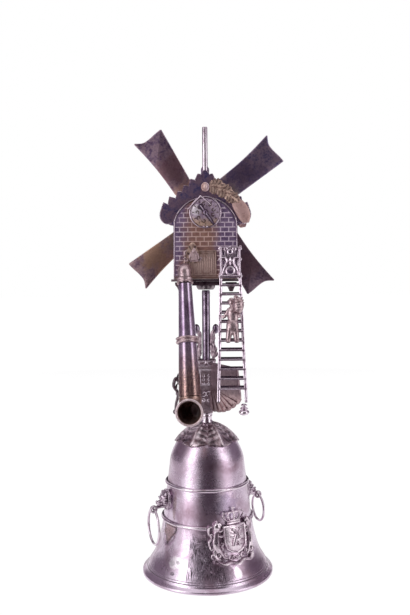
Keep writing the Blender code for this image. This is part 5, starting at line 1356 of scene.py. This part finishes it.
def blade_outline(neck_width):
    """The blade lies along X, its leading edge upwards, set off from the shaft's middle."""
    leading = []
    for step in range(7):
        share = step / 6
        width = neck_width + (SAIL_TIP_WIDTH - neck_width) * share
        leading.append((SAIL_NECK + (SAIL_TIP - SAIL_NECK) * share,
                        SAIL_SHIFT + width / 2 - HOLLOW_DEPTH * math.sin(math.pi * share)))
    tip = [(SAIL_TIP, 10.5), (49.3, 6.7), (49.0, 2.8), (49.6, -2.3), (49.8, -5.5)]
    return [(3.7, -3.0), (3.7, 3.0), *fair(leading, 3)[:-1], *fair(tip, 4),
            (SAIL_NECK, SAIL_SHIFT - neck_width / 2)]


def heated(neck, middle):
    """The colours of heat on a sail, in clouds at its neck and along the middle of its length."""

    def tint(finish, point, colour):
        x, _, z = finish.parts(point)
        up = z - DIAL_Z
        reach = x.worked("SQRT", x * x + up * up)
        cloud = (finish.noise(point, 0.22, 4.0, 0.65) - 0.5) * 26.0
        at_neck = finish.within(reach + cloud, 18.0, 27.0)
        along = finish.within(abs(reach + cloud - 33.0), 3.0, 11.0)
        colour = finish.blend(along * 0.65, colour, middle)
        return finish.blend(at_neck * 0.75, colour, neck)

    return tint


for side, (degrees, neck_width, pale, stain, deep, neck, middle) in SAILS.items():
    sheet = tinted(old_silver(side + "_sheet", pale, stain, deep, stained=0.58, patch=4.0, speck=0.45,
                              grain=0.06, rough=(0.28, 0.44), metal=0.85), heated(neck, middle))
    blade = blade_outline(neck_width)
    bm = bmesh.new()
    slab(bm, blade, -SAIL_SHEET / 2, SAIL_SHEET / 2, 0.15)
    # Its rounded edge, all round but at the root that the hub holds
    edge = [(x, 0.0, z) for x, z in blade[1:] + blade[:1]]
    for start, end in zip(edge, edge[1:]):
        drawn_bar(bm, [start, end], 0.34, 8)
    place = (ROTOR @ Matrix.Translation((0.0, SAIL_OFFSET, 0.0))
             @ Matrix.Rotation(-math.radians(degrees), 4, "Y"))
    bmesh.ops.transform(bm, matrix=place, verts=bm.verts)
    put_on(side + "_blade", bm, sheet, [side + "_sail"], body="rotor")


# The windshaft turns in two bushes in the end walls. On its front end sit the hub, which
# grips the sails in its groove, and a boss, and in the house a wheel of eight vanes.
AXLE = ROTOR @ Matrix.Rotation(-math.pi / 2, 4, "X")
SHAFT_R = 1.0
BORE_R = 1.3
BUSH_R = 2.3
VANES = 8
# Each turned piece: its body, its outline and whether it is bored through
SHAFT_PIECES = {
    "windshaft": ("rotor", [(0.0, -3.1), (SHAFT_R, -3.1), (SHAFT_R, 39.3), (0.0, 39.3)], False),
    "sail_hub": ("rotor", [(0.0, 39.6), (BORE_R, 39.6), (BORE_R, 37.55), (5.0, 37.55), (5.2, 37.8),
                           (5.2, 38.65), (3.2, 38.65), (3.2, 39.95), (5.2, 39.95), (5.2, 40.8),
                           (5.0, 41.05), (0.0, 41.05)], False),
    "hub_boss": ("rotor", [(0.0, 41.35), (3.0, 41.35), (3.0, 41.8), (2.5, 42.3), (1.6, 42.5),
                           (1.3, 43.2), (0.6, 43.8), (0.0, 43.95)], False),
    "rear_shaft_bush": ("cup", [(BORE_R, 0.1), (BUSH_R, 0.1), (BUSH_R, 2.5), (BORE_R, 2.5)], True),
    "front_shaft_bush": ("cup", [(BORE_R, 31.75), (BUSH_R, 31.75), (BUSH_R, 34.15),
                                 (BORE_R, 34.15)], True)}
for name, (body, profile, ring) in SHAFT_PIECES.items():
    bm = bmesh.new()
    turned(bm, profile, 48, ring=ring, place=AXLE)
    put_on("turned_" + name, bm, band_silver, [name], body=body)
bm = bmesh.new()
turned(bm, [(BORE_R, 14.0), (2.1, 14.0), (2.1, 19.0), (BORE_R, 19.0)], 32, ring=True, place=AXLE)
for vane in range(VANES):
    box(bm, (-0.3, 14.0, 2.0), (0.3, 19.0, 4.7), 0.08,
        ROTOR @ Matrix.Rotation(2 * math.pi * vane / VANES, 4, "Y"))
put_on("vane_wheel", bm, band_silver, ["paddle_wheel"], body="rotor")


# The blow pipe: an elbow from the wall, a frilled collar, the tapered pipe with a double-bead
# ring, and a mouthpiece that turns towards the drinker. Air blown in drives the sails.
PIPE_TOP = Vector((-10.0, -22.6, 145.2))
PIPE_FOOT = Vector((-7.7, -37.0, 93.5))
DOWN = (PIPE_FOOT - PIPE_TOP).normalized()
PIPE_LENGTH = (PIPE_FOOT - PIPE_TOP).length
PIPE_TOP_R = 3.15
PIPE_FOOT_R = 5.2
PIPE_WALL = 0.7
PIPE = Matrix.Translation(PIPE_TOP) @ DOWN.to_track_quat("Z", "Y").to_matrix().to_4x4()
ELBOW = Vector((-9.6, -17.3, 152.6))
ELBOW_DROP = 3.3
ELBOW_LEG = 3.9
AIR_BORE_R = 1.7
MOUTH_WAY = Vector((-0.06, -1.0, -0.05)).normalized()
MOUTH_BEND_R = 6.0
MOUTH_LENGTH = 3.0


def drawn_tube(bm, path, outer, inner, sides=40):
    """A tube of changing radius along a path, open at both ends."""
    before = set(bm.faces)
    wall = drawn_bar(bm, path, outer, sides)
    bore = drawn_bar(bm, path, inner, sides)
    caps = [face for face in bm.faces if face not in before and len(face.verts) == sides]
    bmesh.ops.delete(bm, geom=caps, context="FACES_ONLY")
    for wall_rim, bore_rim in zip(wall, bore):
        for (a, b), (c, d) in zip(closed_pairs(wall_rim), closed_pairs(bore_rim)):
            bm.faces.new((a, b, d, c))


def pitted_foot(finish, point, colour):
    """The pipe's lower third is browner and pitted."""
    _, _, z = finish.parts(point)
    low = finish.within(z + finish.noise(point, 0.2, 3.0) * 12.0, 106.0, 126.0)
    pits = finish.spread(finish.noise(point, 1.3, 4.0, 0.7), 0.36, 0.66)
    brown = finish.blend(pits, (0.10, 0.05, 0.04), (0.50, 0.30, 0.24))
    return finish.blend(low * 0.85, colour, brown)


def lit_throat(finish, point, colour):
    """Inside, the mouth has painted shade, nearly black, at its left, and a painted highlight at its
    right.
    """
    x, _, z = finish.parts(point)
    across = x + 7.8
    up = z - 87.8
    inside = across * across + up * up < 26.7
    # A painted highlight inside the mouth at its right, and painted shade inside it at its left
    aside = across - 2.4
    rubbed = finish.within(aside * aside * 1.4 + (up + 0.6) * (up + 0.6) * 0.8, 2.0, 7.0)
    left = finish.within(across, -2.5, 1.0)
    colour = finish.blend(inside * left * 0.75, colour, (0.10, 0.05, 0.05))
    return finish.blend(inside * rubbed * 0.85, colour, (1.0, 0.84, 0.88))


pipe_silver = tinted(old_silver("pipe_silver", (0.44, 0.34, 0.46), (0.26, 0.17, 0.28),
                                (0.15, 0.08, 0.10), patch=11.0, speck=0.10, grain=0.008,
                                rough=(0.10, 0.18), metal=0.75), pitted_foot)
pink_cast = old_silver("pink_cast", (0.62, 0.47, 0.50), (0.32, 0.21, 0.23), (0.12, 0.06, 0.06),
                       stained=0.54, patch=2.0, speck=0.4, grain=0.16, rough=(0.30, 0.48), metal=0.9)
lip_pink = old_silver("lip_pink", (0.84, 0.69, 0.72), (0.52, 0.38, 0.40), (0.18, 0.10, 0.10),
                      stained=0.46, patch=2.4, speck=0.3, grain=0.12, rough=(0.38, 0.54), metal=0.8)
mouth_brown = tinted(tinted(old_silver("mouth_brown", (0.66, 0.51, 0.54), (0.38, 0.26, 0.28),
                                       (0.15, 0.08, 0.08), patch=2.4, speck=0.3, grain=0.10,
                                       rough=(0.28, 0.48), metal=0.85), pitted_foot), lit_throat)
bm = bmesh.new()
elbow_end = PIPE_TOP - DOWN * ELBOW_DROP
corner = elbow_end - DOWN * ELBOW_LEG
towards = (corner - Vector((ELBOW.x, REAR_Y + 1.0, ELBOW.z))).normalized()
bend = fair([tuple(ELBOW), tuple(ELBOW + towards * 0.8), tuple(corner - towards * 1.6),
             tuple(corner + DOWN * 0.4), tuple(corner + DOWN * 2.2), tuple(elbow_end)], 5)
outer = [3.0 + 0.2 * min(1.0, step / 12) for step in range(len(bend))]
drawn_tube(bm, bend, outer, AIR_BORE_R)
put_on("bent_elbow", bm, pink_cast, ["pipe_elbow"])
bm = bmesh.new()
turned(bm, [(AIR_BORE_R, -3.0), (3.4, -3.0), (3.75, -2.7), (3.6, -2.2), (3.5, -1.7), (3.7, -1.2),
            (3.95, -0.9), (3.95, -0.5), (3.6, -0.3), (AIR_BORE_R, -0.3)], ring=True)
# The frill: twelve waves round the collar's lower edge
for vert in bm.verts:
    if vert.co.z > -1.3 and vert.co.x ** 2 + vert.co.y ** 2 > 9.0:
        vert.co.z += 0.3 * math.cos(12 * math.atan2(vert.co.y, vert.co.x)) - 0.15
bmesh.ops.transform(bm, matrix=PIPE, verts=bm.verts)
put_on("frilled_collar", bm, pink_cast, ["pipe_collar"])
bm = bmesh.new()
turned(bm, [(PIPE_TOP_R - PIPE_WALL, 0.0), (PIPE_TOP_R, 0.0),
            ((PIPE_TOP_R + PIPE_FOOT_R) / 2, PIPE_LENGTH / 2), (PIPE_FOOT_R, PIPE_LENGTH),
            (PIPE_FOOT_R - PIPE_WALL, PIPE_LENGTH)], ring=True, place=PIPE)
put_on("tapered_pipe", bm, pipe_silver, ["blow_pipe"])
bm = bmesh.new()
ring_share = 0.51
ring_at = ring_share * PIPE_LENGTH
ring_r = PIPE_TOP_R + (PIPE_FOOT_R - PIPE_TOP_R) * ring_share + SOLDER_GAP
loop = [(ring_r - 0.1, ring_at - 1.5)]
for centre in (-0.85, 0.85):
    loop += [(ring_r + 0.35 + 0.72 * math.cos(a), ring_at + centre + 0.62 * math.sin(a))
             for a in [math.radians(-80 + 160 * step / 8) for step in range(9)]]
loop += [(ring_r + 0.08, ring_at + 1.5)]
turned(bm, loop, ring=True, place=PIPE)
put_on("double_bead_ring", bm, pink_cast, ["pipe_ring"])

# The mouthpiece leaves the pipe straight, bends and then flares to its lip
bm = bmesh.new()
begin = PIPE_FOOT + DOWN * SOLDER_GAP
swing = DOWN.angle(MOUTH_WAY)
across = (MOUTH_WAY - DOWN * math.cos(swing)).normalized()
path = [begin]
for step in range(11):
    part = swing * step / 10
    path.append(begin + DOWN * 1.0 + DOWN * MOUTH_BEND_R * math.sin(part)
                + across * MOUTH_BEND_R * (1.0 - math.cos(part)))
bend_end = path[-1]
flare = [step / 8 for step in range(1, 9)]
path += [bend_end + MOUTH_WAY * MOUTH_LENGTH * share for share in flare]
outer = [PIPE_FOOT_R] * 12 + [PIPE_FOOT_R + 1.2 * share ** 1.6 for share in flare]
inner_r = PIPE_FOOT_R - PIPE_WALL
inner = [inner_r] * 12 + [inner_r + 0.65 * share ** 1.5 for share in flare]
drawn_tube(bm, path, outer, inner, 64)
put_on("flared_mouth", bm, mouth_brown, ["pipe_mouth"])
bm = bmesh.new()
turned(bm, oval(0.52, 0.52, 16, 5.86), 64, ring=True,
       place=Matrix.Translation(path[-1] - MOUTH_WAY * 0.06)
       @ MOUTH_WAY.to_track_quat("Z", "Y").to_matrix().to_4x4())
put_on("mouth_lip", bm, lip_pink)
bm = bmesh.new()
jet = fair([(-9.6, -15.9, 152.6), (-9.6, -12.0, 152.9), (-9.1, -5.0, 160.6), (-4.3, -0.8, 174.0)], 5)
drawn_tube(bm, jet, 1.3, 0.7, 20)
put_on("air_jet", bm, band_silver, ["jet_tube"])


# The cast ornament that hides the elbow's joint with the wall: a veined leaf that stands
# upright, with a ribbed dome over its foot and three small scrolls beside it.
DOME_RIBS = 7


def on_wall(s, t, lift):
    width = 3.2 * math.sin(math.pi * (0.30 + 0.70 * s)) ** 0.55
    out = 0.40 + 0.5 * lift + 0.6 * math.sin(math.pi * s)
    return (-6.4 + t * width, REAR_Y - out, 155.8 + 9.4 * s)


bm = bmesh.new()
leaf(bm, on_wall, 3, 0.5, 40, 20, 0.1, 0.1)
put_on("wall_leaf", bm, crest_gold, ["pipe_leaf"], sharp=50.0)
bm = bmesh.new()
for step in range(DOME_RIBS):
    aside = step - DOME_RIBS // 2
    out = aside * 0.72
    high = 7.6 - 0.30 * aside ** 2
    rib = fair([(-5.7 + out * 0.75, REAR_Y - 1.0, 156.2), (-5.7 + out, REAR_Y - 1.6, 156.0 + high * 0.4),
                (-5.7 + out * 0.9, REAR_Y - 1.5, 156.0 + high * 0.75),
                (-5.7 + out * 0.4, REAR_Y - 0.9, 156.0 + high)], 4)
    drawn_bar(bm, rib, 0.30, 8)
for centre, size, way in (((-9.0, 160.2), 1.8, 1), ((-9.6, 157.0), 1.2, -1), ((-2.9, 157.2), 1.1, 1)):
    scroll = curl(*centre, size, 0.3, 20 if way > 0 else 160, way * 420, -REAR_Y + 1.0)
    drawn_bar(bm, scroll, tapered(scroll, 0.42, 0.252), 8)
put_on("ribbed_dome", bm, pink_cast, sharp=50.0)


# The ladder: two rails with raised edges, twelve treads with rounded lips, a pierced cast gate
# at its head and a turned knob at its foot.
LADDER_FOOT = Vector((11.8, -37.2, 90.7))
LADDER_RISE = Vector((11.7, -18.7, 161.7)) - LADDER_FOOT
LADDER = Matrix.Translation(LADDER_FOOT) @ Matrix.Rotation(
    math.atan2(LADDER_RISE.z, LADDER_RISE.y) - math.pi / 2, 4, "X")
LADDER_LENGTH = LADDER_RISE.length
RAIL_WIDE = 1.1
RAIL_DEEP = 1.9
LADDER_HALF_FOOT = 6.9
LADDER_NARROWING = 2.2
TREADS = [6.9 + 49.1 * index / 11 for index in range(12)]
TREAD_LEAN = Matrix.Rotation(math.radians(28.0), 4, "X")
ladder_silver = old_silver("ladder_silver", (0.72, 0.61, 0.70), (0.44, 0.32, 0.40), (0.16, 0.09, 0.10),
                           stained=0.48, patch=3.5, grain=0.05, rough=(0.20, 0.38))


def rail_x(along):
    """How far a rail's middle stands from the ladder's, at a length along it."""
    return LADDER_HALF_FOOT - LADDER_NARROWING * along / LADDER_LENGTH - RAIL_WIDE / 2


bm = bmesh.new()
for way in (-1, 1):
    made = bmesh.ops.create_cube(bm, size=1.0, matrix=Matrix.Translation((0.0, 0.0, LADDER_LENGTH / 2))
                                 @ Matrix.Diagonal((RAIL_WIDE, RAIL_DEEP, LADDER_LENGTH, 1.0)))
    for vert in made["verts"]:
        vert.co.x += way * rail_x(vert.co.z)
for along in TREADS:
    wide = rail_x(along)
    box(bm, (-wide, -1.5, -0.35), (wide, 1.7, 0.35), 0.08,
        Matrix.Translation((0.0, 0.0, along)) @ TREAD_LEAN)
bmesh.ops.transform(bm, matrix=LADDER, verts=bm.verts)
put_on("plain_ladder", bm, dark_silver, ["ladder"])
bm = bmesh.new()
for way in (-1, 1):
    for edge_x in (-0.42, 0.42):
        line = [(way * rail_x(z) + edge_x, -0.98, z) for z in (0.2, LADDER_LENGTH - 0.2)]
        drawn_bar(bm, line, 0.28, 8)
for along in TREADS:
    wide = rail_x(along)
    drawn_bar(bm, [(-wide, -1.35, along - 0.72), (wide, -1.35, along - 0.72)], 0.5)
bmesh.ops.transform(bm, matrix=LADDER, verts=bm.verts)
put_on("ladder_edges", bm, ladder_silver)

# The gate: a pierced plate with a moulded front, which stands between the heads of the rails
GATE_LOW = 59.4
GATE_HIGH = 74.8
GATE_HALF = 5.2
LOWER_EYE = 2.9
UPPER_EYE = 12.4
FLOWER_AT = 7.6
SIDE_SLOT = fair([(2.5, 2.6), (3.7, 1.9), (3.85, 5.0), (3.7, 8.4), (2.3, 7.4), (2.9, 5.2),
                  (2.5, 2.6)], 3)[:-1]
TOP_SLOT = fair([(2.2, 9.7), (3.5, 9.4), (3.7, 11.2), (3.4, 12.8), (2.4, 13.1), (2.7, 11.4),
                 (2.2, 9.7)], 3)[:-1]
bm = bmesh.new()
low, high, wide = GATE_LOW, GATE_HIGH, GATE_HALF
half = [(0.0, low), (wide, low), (wide, low + 1.2), (wide - 0.4, low + 2.0), (wide - 0.45, high - 2.4),
        (wide, high - 1.4), (wide - 0.4, high - 0.3), (wide - 1.6, high - 0.9), (2.6, high - 0.4),
        (1.6, high - 1.0), (0.0, high)]
holes = [oval(1.75, 1.6, 20, 0.0, low + LOWER_EYE), oval(0.9, 0.8, 12, 0.0, low + UPPER_EYE)]
for slot in (SIDE_SLOT, TOP_SLOT):
    holes += [[(way * x, low + z) for x, z in slot] for way in (-1, 1)]
slab(bm, mirrored(half), 1.3, 2.05, 0.12, holes)
for eye, size in ((LOWER_EYE, 1.95), (UPPER_EYE, 1.15)):
    ring = [(x, -2.0, z) for x, z in oval(size, size, 24, 0.0, low + eye)]
    drawn_bar(bm, [*ring, ring[0]], 0.42, 8)
for way in (-1, 1):
    # A stile and a curved strap
    stile = [(way * 4.6, -1.95, z) for z in (low + 0.3, low + 5.0, low + 10.0, high - 0.8)]
    drawn_bar(bm, stile, [0.55, 0.5, 0.5, 0.6])
    strap = fair([(way * 4.2, -2.0, low + 0.6), (way * 2.5, -2.1, low + 5.2), (way * 1.5, -2.1, low + 7.4),
                  (way * 2.3, -2.1, low + 9.3), (way * 4.3, -2.0, low + 9.2)], 4)
    drawn_bar(bm, strap, 0.48, 8)
for level in (low + 0.3, high - 0.9):
    drawn_bar(bm, [(-4.7, -1.95, level), (4.7, -1.95, level)], 0.5)
for way in (-1, 1):
    # Knobs along the outer edge and a scroll at the top
    for up, size in ((0.4, 0.8), (1.5, 0.55), (8.8, 0.75), (14.2, 0.85), (15.2, 0.6)):
        bead(bm, (way * (wide - 0.2), -1.8, low + up), size, (1, 0.8, 1), 12)
    scroll = curl(way * 1.9, high - 1.6, 1.1, 0.3, 270, way * 380, 2.15, 12)
    drawn_bar(bm, scroll, 0.32, 8)
# The flower of four petals in the middle
flower = Vector((0.0, -2.15, low + FLOWER_AT))
for turn in range(4):
    angle = turn * math.pi / 2
    point = Vector((math.sin(angle), 0.0, math.cos(angle)))
    drawn_bar(bm, [flower, flower + point * 1.1, flower + point * 2.1], [0.5, 0.55, 0.12], 8)
bead(bm, (0.0, -2.3, low + FLOWER_AT), 0.6, detail=12)
bmesh.ops.transform(bm, matrix=LADDER, verts=bm.verts)
put_on("pierced_gate", bm, ladder_silver, ["ladder_gate"])

bm = bmesh.new()
# The knob under the right rail's foot: a turned collar and a ball
knob = [(0.0, 0.0), (1.0, 0.0), (1.5, -0.4), (1.5, -0.7), (0.85, -1.0), (0.8, -1.3), (1.9, -1.9),
        (1.9, -2.2), (1.2, -2.5)]
knob += [(2.45 * math.sin(math.radians(a)), -2.4 - 2.8 * (1 - math.cos(math.radians(a))) / 2)
         for a in range(40, 181, 14)]
turned(bm, [*knob, (0.0, -5.2)], 40,
       place=Matrix.Translation(LADDER_FOOT + Vector((5.35, 0.0, -0.7))))
put_on("turned_knob", bm, band_silver, ["ladder_finial"])


# The miller: a small cast figure seen from behind, in coat, breeches and hat, who climbs the
# ladder with a tied sack on the right shoulder. The face is plain and turned to the mill.
MILLER_MIDDLE = 39.5
TREAD_FRONT = -1.0
# Back, coat, head, the hat's brim and crown, and the two feet: middles and half sizes
MILLER_ROUNDS = (((0.8, -3.0, 1.0), (2.8, 2.0, 4.6)), ((0.5, -3.1, -4.4), (3.0, 2.1, 3.4)),
                 ((0.2, -2.6, 6.8), (1.5, 1.5, 1.7)), ((0.2, -2.7, 7.7), (2.1, 2.0, 0.5)),
                 ((0.2, -2.7, 8.2), (1.3, 1.3, 1.0)), ((-1.6, -2.5, -11.6), (1.2, 1.5, 0.8)),
                 ((2.4, -2.5, -11.6), (1.2, 1.5, 0.8)))
# Two legs, the left arm down to the rail, and the right arm: ends and radii
MILLER_LIMBS = (((-0.8, -3.1, -5.6), (-1.6, -2.6, -11.2), 1.7, 1.2),
                ((1.7, -3.1, -5.6), (2.4, -2.6, -11.2), 1.7, 1.2),
                ((-0.8, -2.9, 3.6), (-3.4, -1.9, -0.2), 1.1, 0.75),
                ((-3.3, -1.9, -0.4), (-4.5, -1.5, 0.6), 0.8, 0.7),
                ((2.2, -3.2, 3.2), (4.0, -4.2, -0.6), 1.1, 0.7))
SACK_MIDDLE = (3.3, -5.4, 5.0)
SACK_HALF = (2.6, 2.3, 3.9)


def spot(x, y, z):
    """A point of the figure, in the ladder's own directions."""
    return (x, TREAD_FRONT + y, MILLER_MIDDLE + z)


bm = bmesh.new()
for centre, radii in MILLER_ROUNDS:
    bead(bm, spot(*centre), 1.0, radii, 24)
for start, end, first, last in MILLER_LIMBS:
    drawn_bar(bm, [spot(*start), spot(*end)], [first, last], 16)
bmesh.ops.transform(bm, matrix=LADDER, verts=bm.verts)
put_on("climbing_miller", bm, pink_cast, ["miller"],
       refine=(("REMESH", {"mode": "VOXEL", "voxel_size": 0.00022, "use_smooth_shade": True}),
               ("SMOOTH", {"factor": 0.5, "iterations": 3})))
bm = bmesh.new()
bead(bm, spot(*SACK_MIDDLE), 1.0, SACK_HALF, 32)
bead(bm, spot(2.3, -5.2, 8.9), 1.0, (1.2, 1.0, 0.8), 20)
# The stripes run half round the sack, and a tie closes its neck
for rise in (-2.2, -1.0, 0.2, 1.4, 2.6):
    size = math.sqrt(1.0 - (rise / 4.1) ** 2)
    x, y, z = SACK_MIDDLE
    stripe = [spot(x + 2.65 * size * math.sin(a), y - 2.35 * size * math.cos(a),
                   z + rise + math.sin(a))
              for a in [math.radians(-120 + 240 * step / 16) for step in range(17)]]
    drawn_bar(bm, stripe, 0.24, 6)
drawn_bar(bm, [spot(2.3, -5.2, 8.0), spot(2.3, -5.2, 8.5)], 1.1, 16)
bmesh.ops.transform(bm, matrix=LADDER, verts=bm.verts)
put_on("striped_sack", bm, pink_cast, ["sack"])


# The brackets: a fan-shaped shell between the stem and the ladder's foot, and a leafy scroll
# behind the blow pipe that ends in a drop with a ball.
WING_TURN = Matrix.Rotation(math.radians(-63.5), 4, "Z")
WING_TOP = PEDESTAL_TOP - 13.4
WING_HEAD = PEDESTAL_TOP - 1.0
WING_HEIGHT = 11.2
SHELL_LOBES = 6
SHELL_ROOT_X = 6.9
SHELL_LENGTH = 28.3
SHELL_RISE = 9.0


def shell_edge(share):
    """The lower edge of the shell, at a share of its length from the stem."""
    return (SHELL_ROOT_X + SHELL_LENGTH * share, WING_TOP - WING_HEIGHT + SHELL_RISE * share ** 2.2)


def shaded_root(finish, point, colour):
    """Painted shade makes the plate nearly black beside the stem, and it is greyer above the shell."""
    _, y, z = finish.parts(point)
    # Painted shade beside the stem
    root = finish.within(0.0 - y, 10.0, 17.0)
    high = finish.spread(z, 90.0, 95.0)
    colour = finish.blend(high * 0.6, colour, (0.22, 0.16, 0.20))
    return finish.blend(root * 0.7, colour, (0.13, 0.08, 0.10))


shell_brown = tinted(old_silver("shell_brown", (0.62, 0.44, 0.45), (0.34, 0.22, 0.23),
                                (0.12, 0.06, 0.06), stained=0.54, patch=1.8, speck=0.4, grain=0.20,
                                rough=(0.34, 0.52), metal=0.85), shaded_root)
bm = bmesh.new()
outline = [(6.1, WING_HEAD), (6.1, WING_TOP), (4.9, WING_TOP), (4.9, WING_TOP - 9.4),
           (SHELL_ROOT_X, WING_TOP - WING_HEIGHT)]
for lobe in range(SHELL_LOBES):
    for part in (0.15, 0.35, 0.55, 0.75, 1.0):
        x, z = shell_edge((lobe + part) / SHELL_LOBES)
        outline.append((x, z - 0.75 * math.sin(math.pi * part)))
outline += [(35.2, WING_TOP), (32.5, WING_HEAD)]
slab(bm, outline, -0.6, 0.6, 0.15)
for lobe in range(SHELL_LOBES):
    x, z = shell_edge((lobe + 0.5) / SHELL_LOBES)
    for face in (-0.62, 0.62):
        root = (6.4 + 1.4 * lobe, face, WING_TOP - 1.0)
        tip = (x, face, z + 0.2)
        middle = tuple((a + b) / 2 for a, b in zip(root, tip))
        drawn_bar(bm, [root, middle, tip], [0.2, 0.4, 0.7], 10, 0.4)
for face in (-0.5, 0.5):
    drawn_bar(bm, [(x, face, z + 0.3) for x, z in outline[4:-2]], 0.32, 8)
bmesh.ops.transform(bm, matrix=WING_TURN, verts=bm.verts)
put_on("fan_shell", bm, shell_brown, ["shell_bracket"])

# The scroll: one tapering bar that curls at its end, with a drop, a ball and three licks
SCROLL_Z = PEDESTAL_TOP - 15.6
SCROLL_TURNS = [(-4.0, -4.2, 0.0), (-6.4, -12.0, -2.4), (-9.6, -20.5, 0.0), (-12.4, -25.8, 6.5),
                (-14.4, -27.2, 9.6), (-15.6, -26.6, 6.0), (-13.6, -26.0, 2.2), (-14.6, -25.8, -3.0),
                (-14.8, -26.0, -6.4)]
bm = bmesh.new()
path = fair([(x, y, SCROLL_Z + z) for x, y, z in SCROLL_TURNS], 6)
drawn_bar(bm, path, tapered(path, 1.1, 0.605), 12)
bead(bm, path[-1], 1.3, detail=20)
bead(bm, path[36], 1.15, detail=16)
for index in (14, 22, 33):
    start = Vector(path[index])
    lick = fair([start, start + Vector((0.2, -0.5, 1.2)), start + Vector((0.5, -0.3, 2.4)),
                 start + Vector((1.2, 0.1, 2.9))], 3)
    drawn_bar(bm, lick, tapered(lick, 0.75, 0.21), 8)
put_on("leafy_scroll", bm, leaf_silver, ["scroll_bracket"])
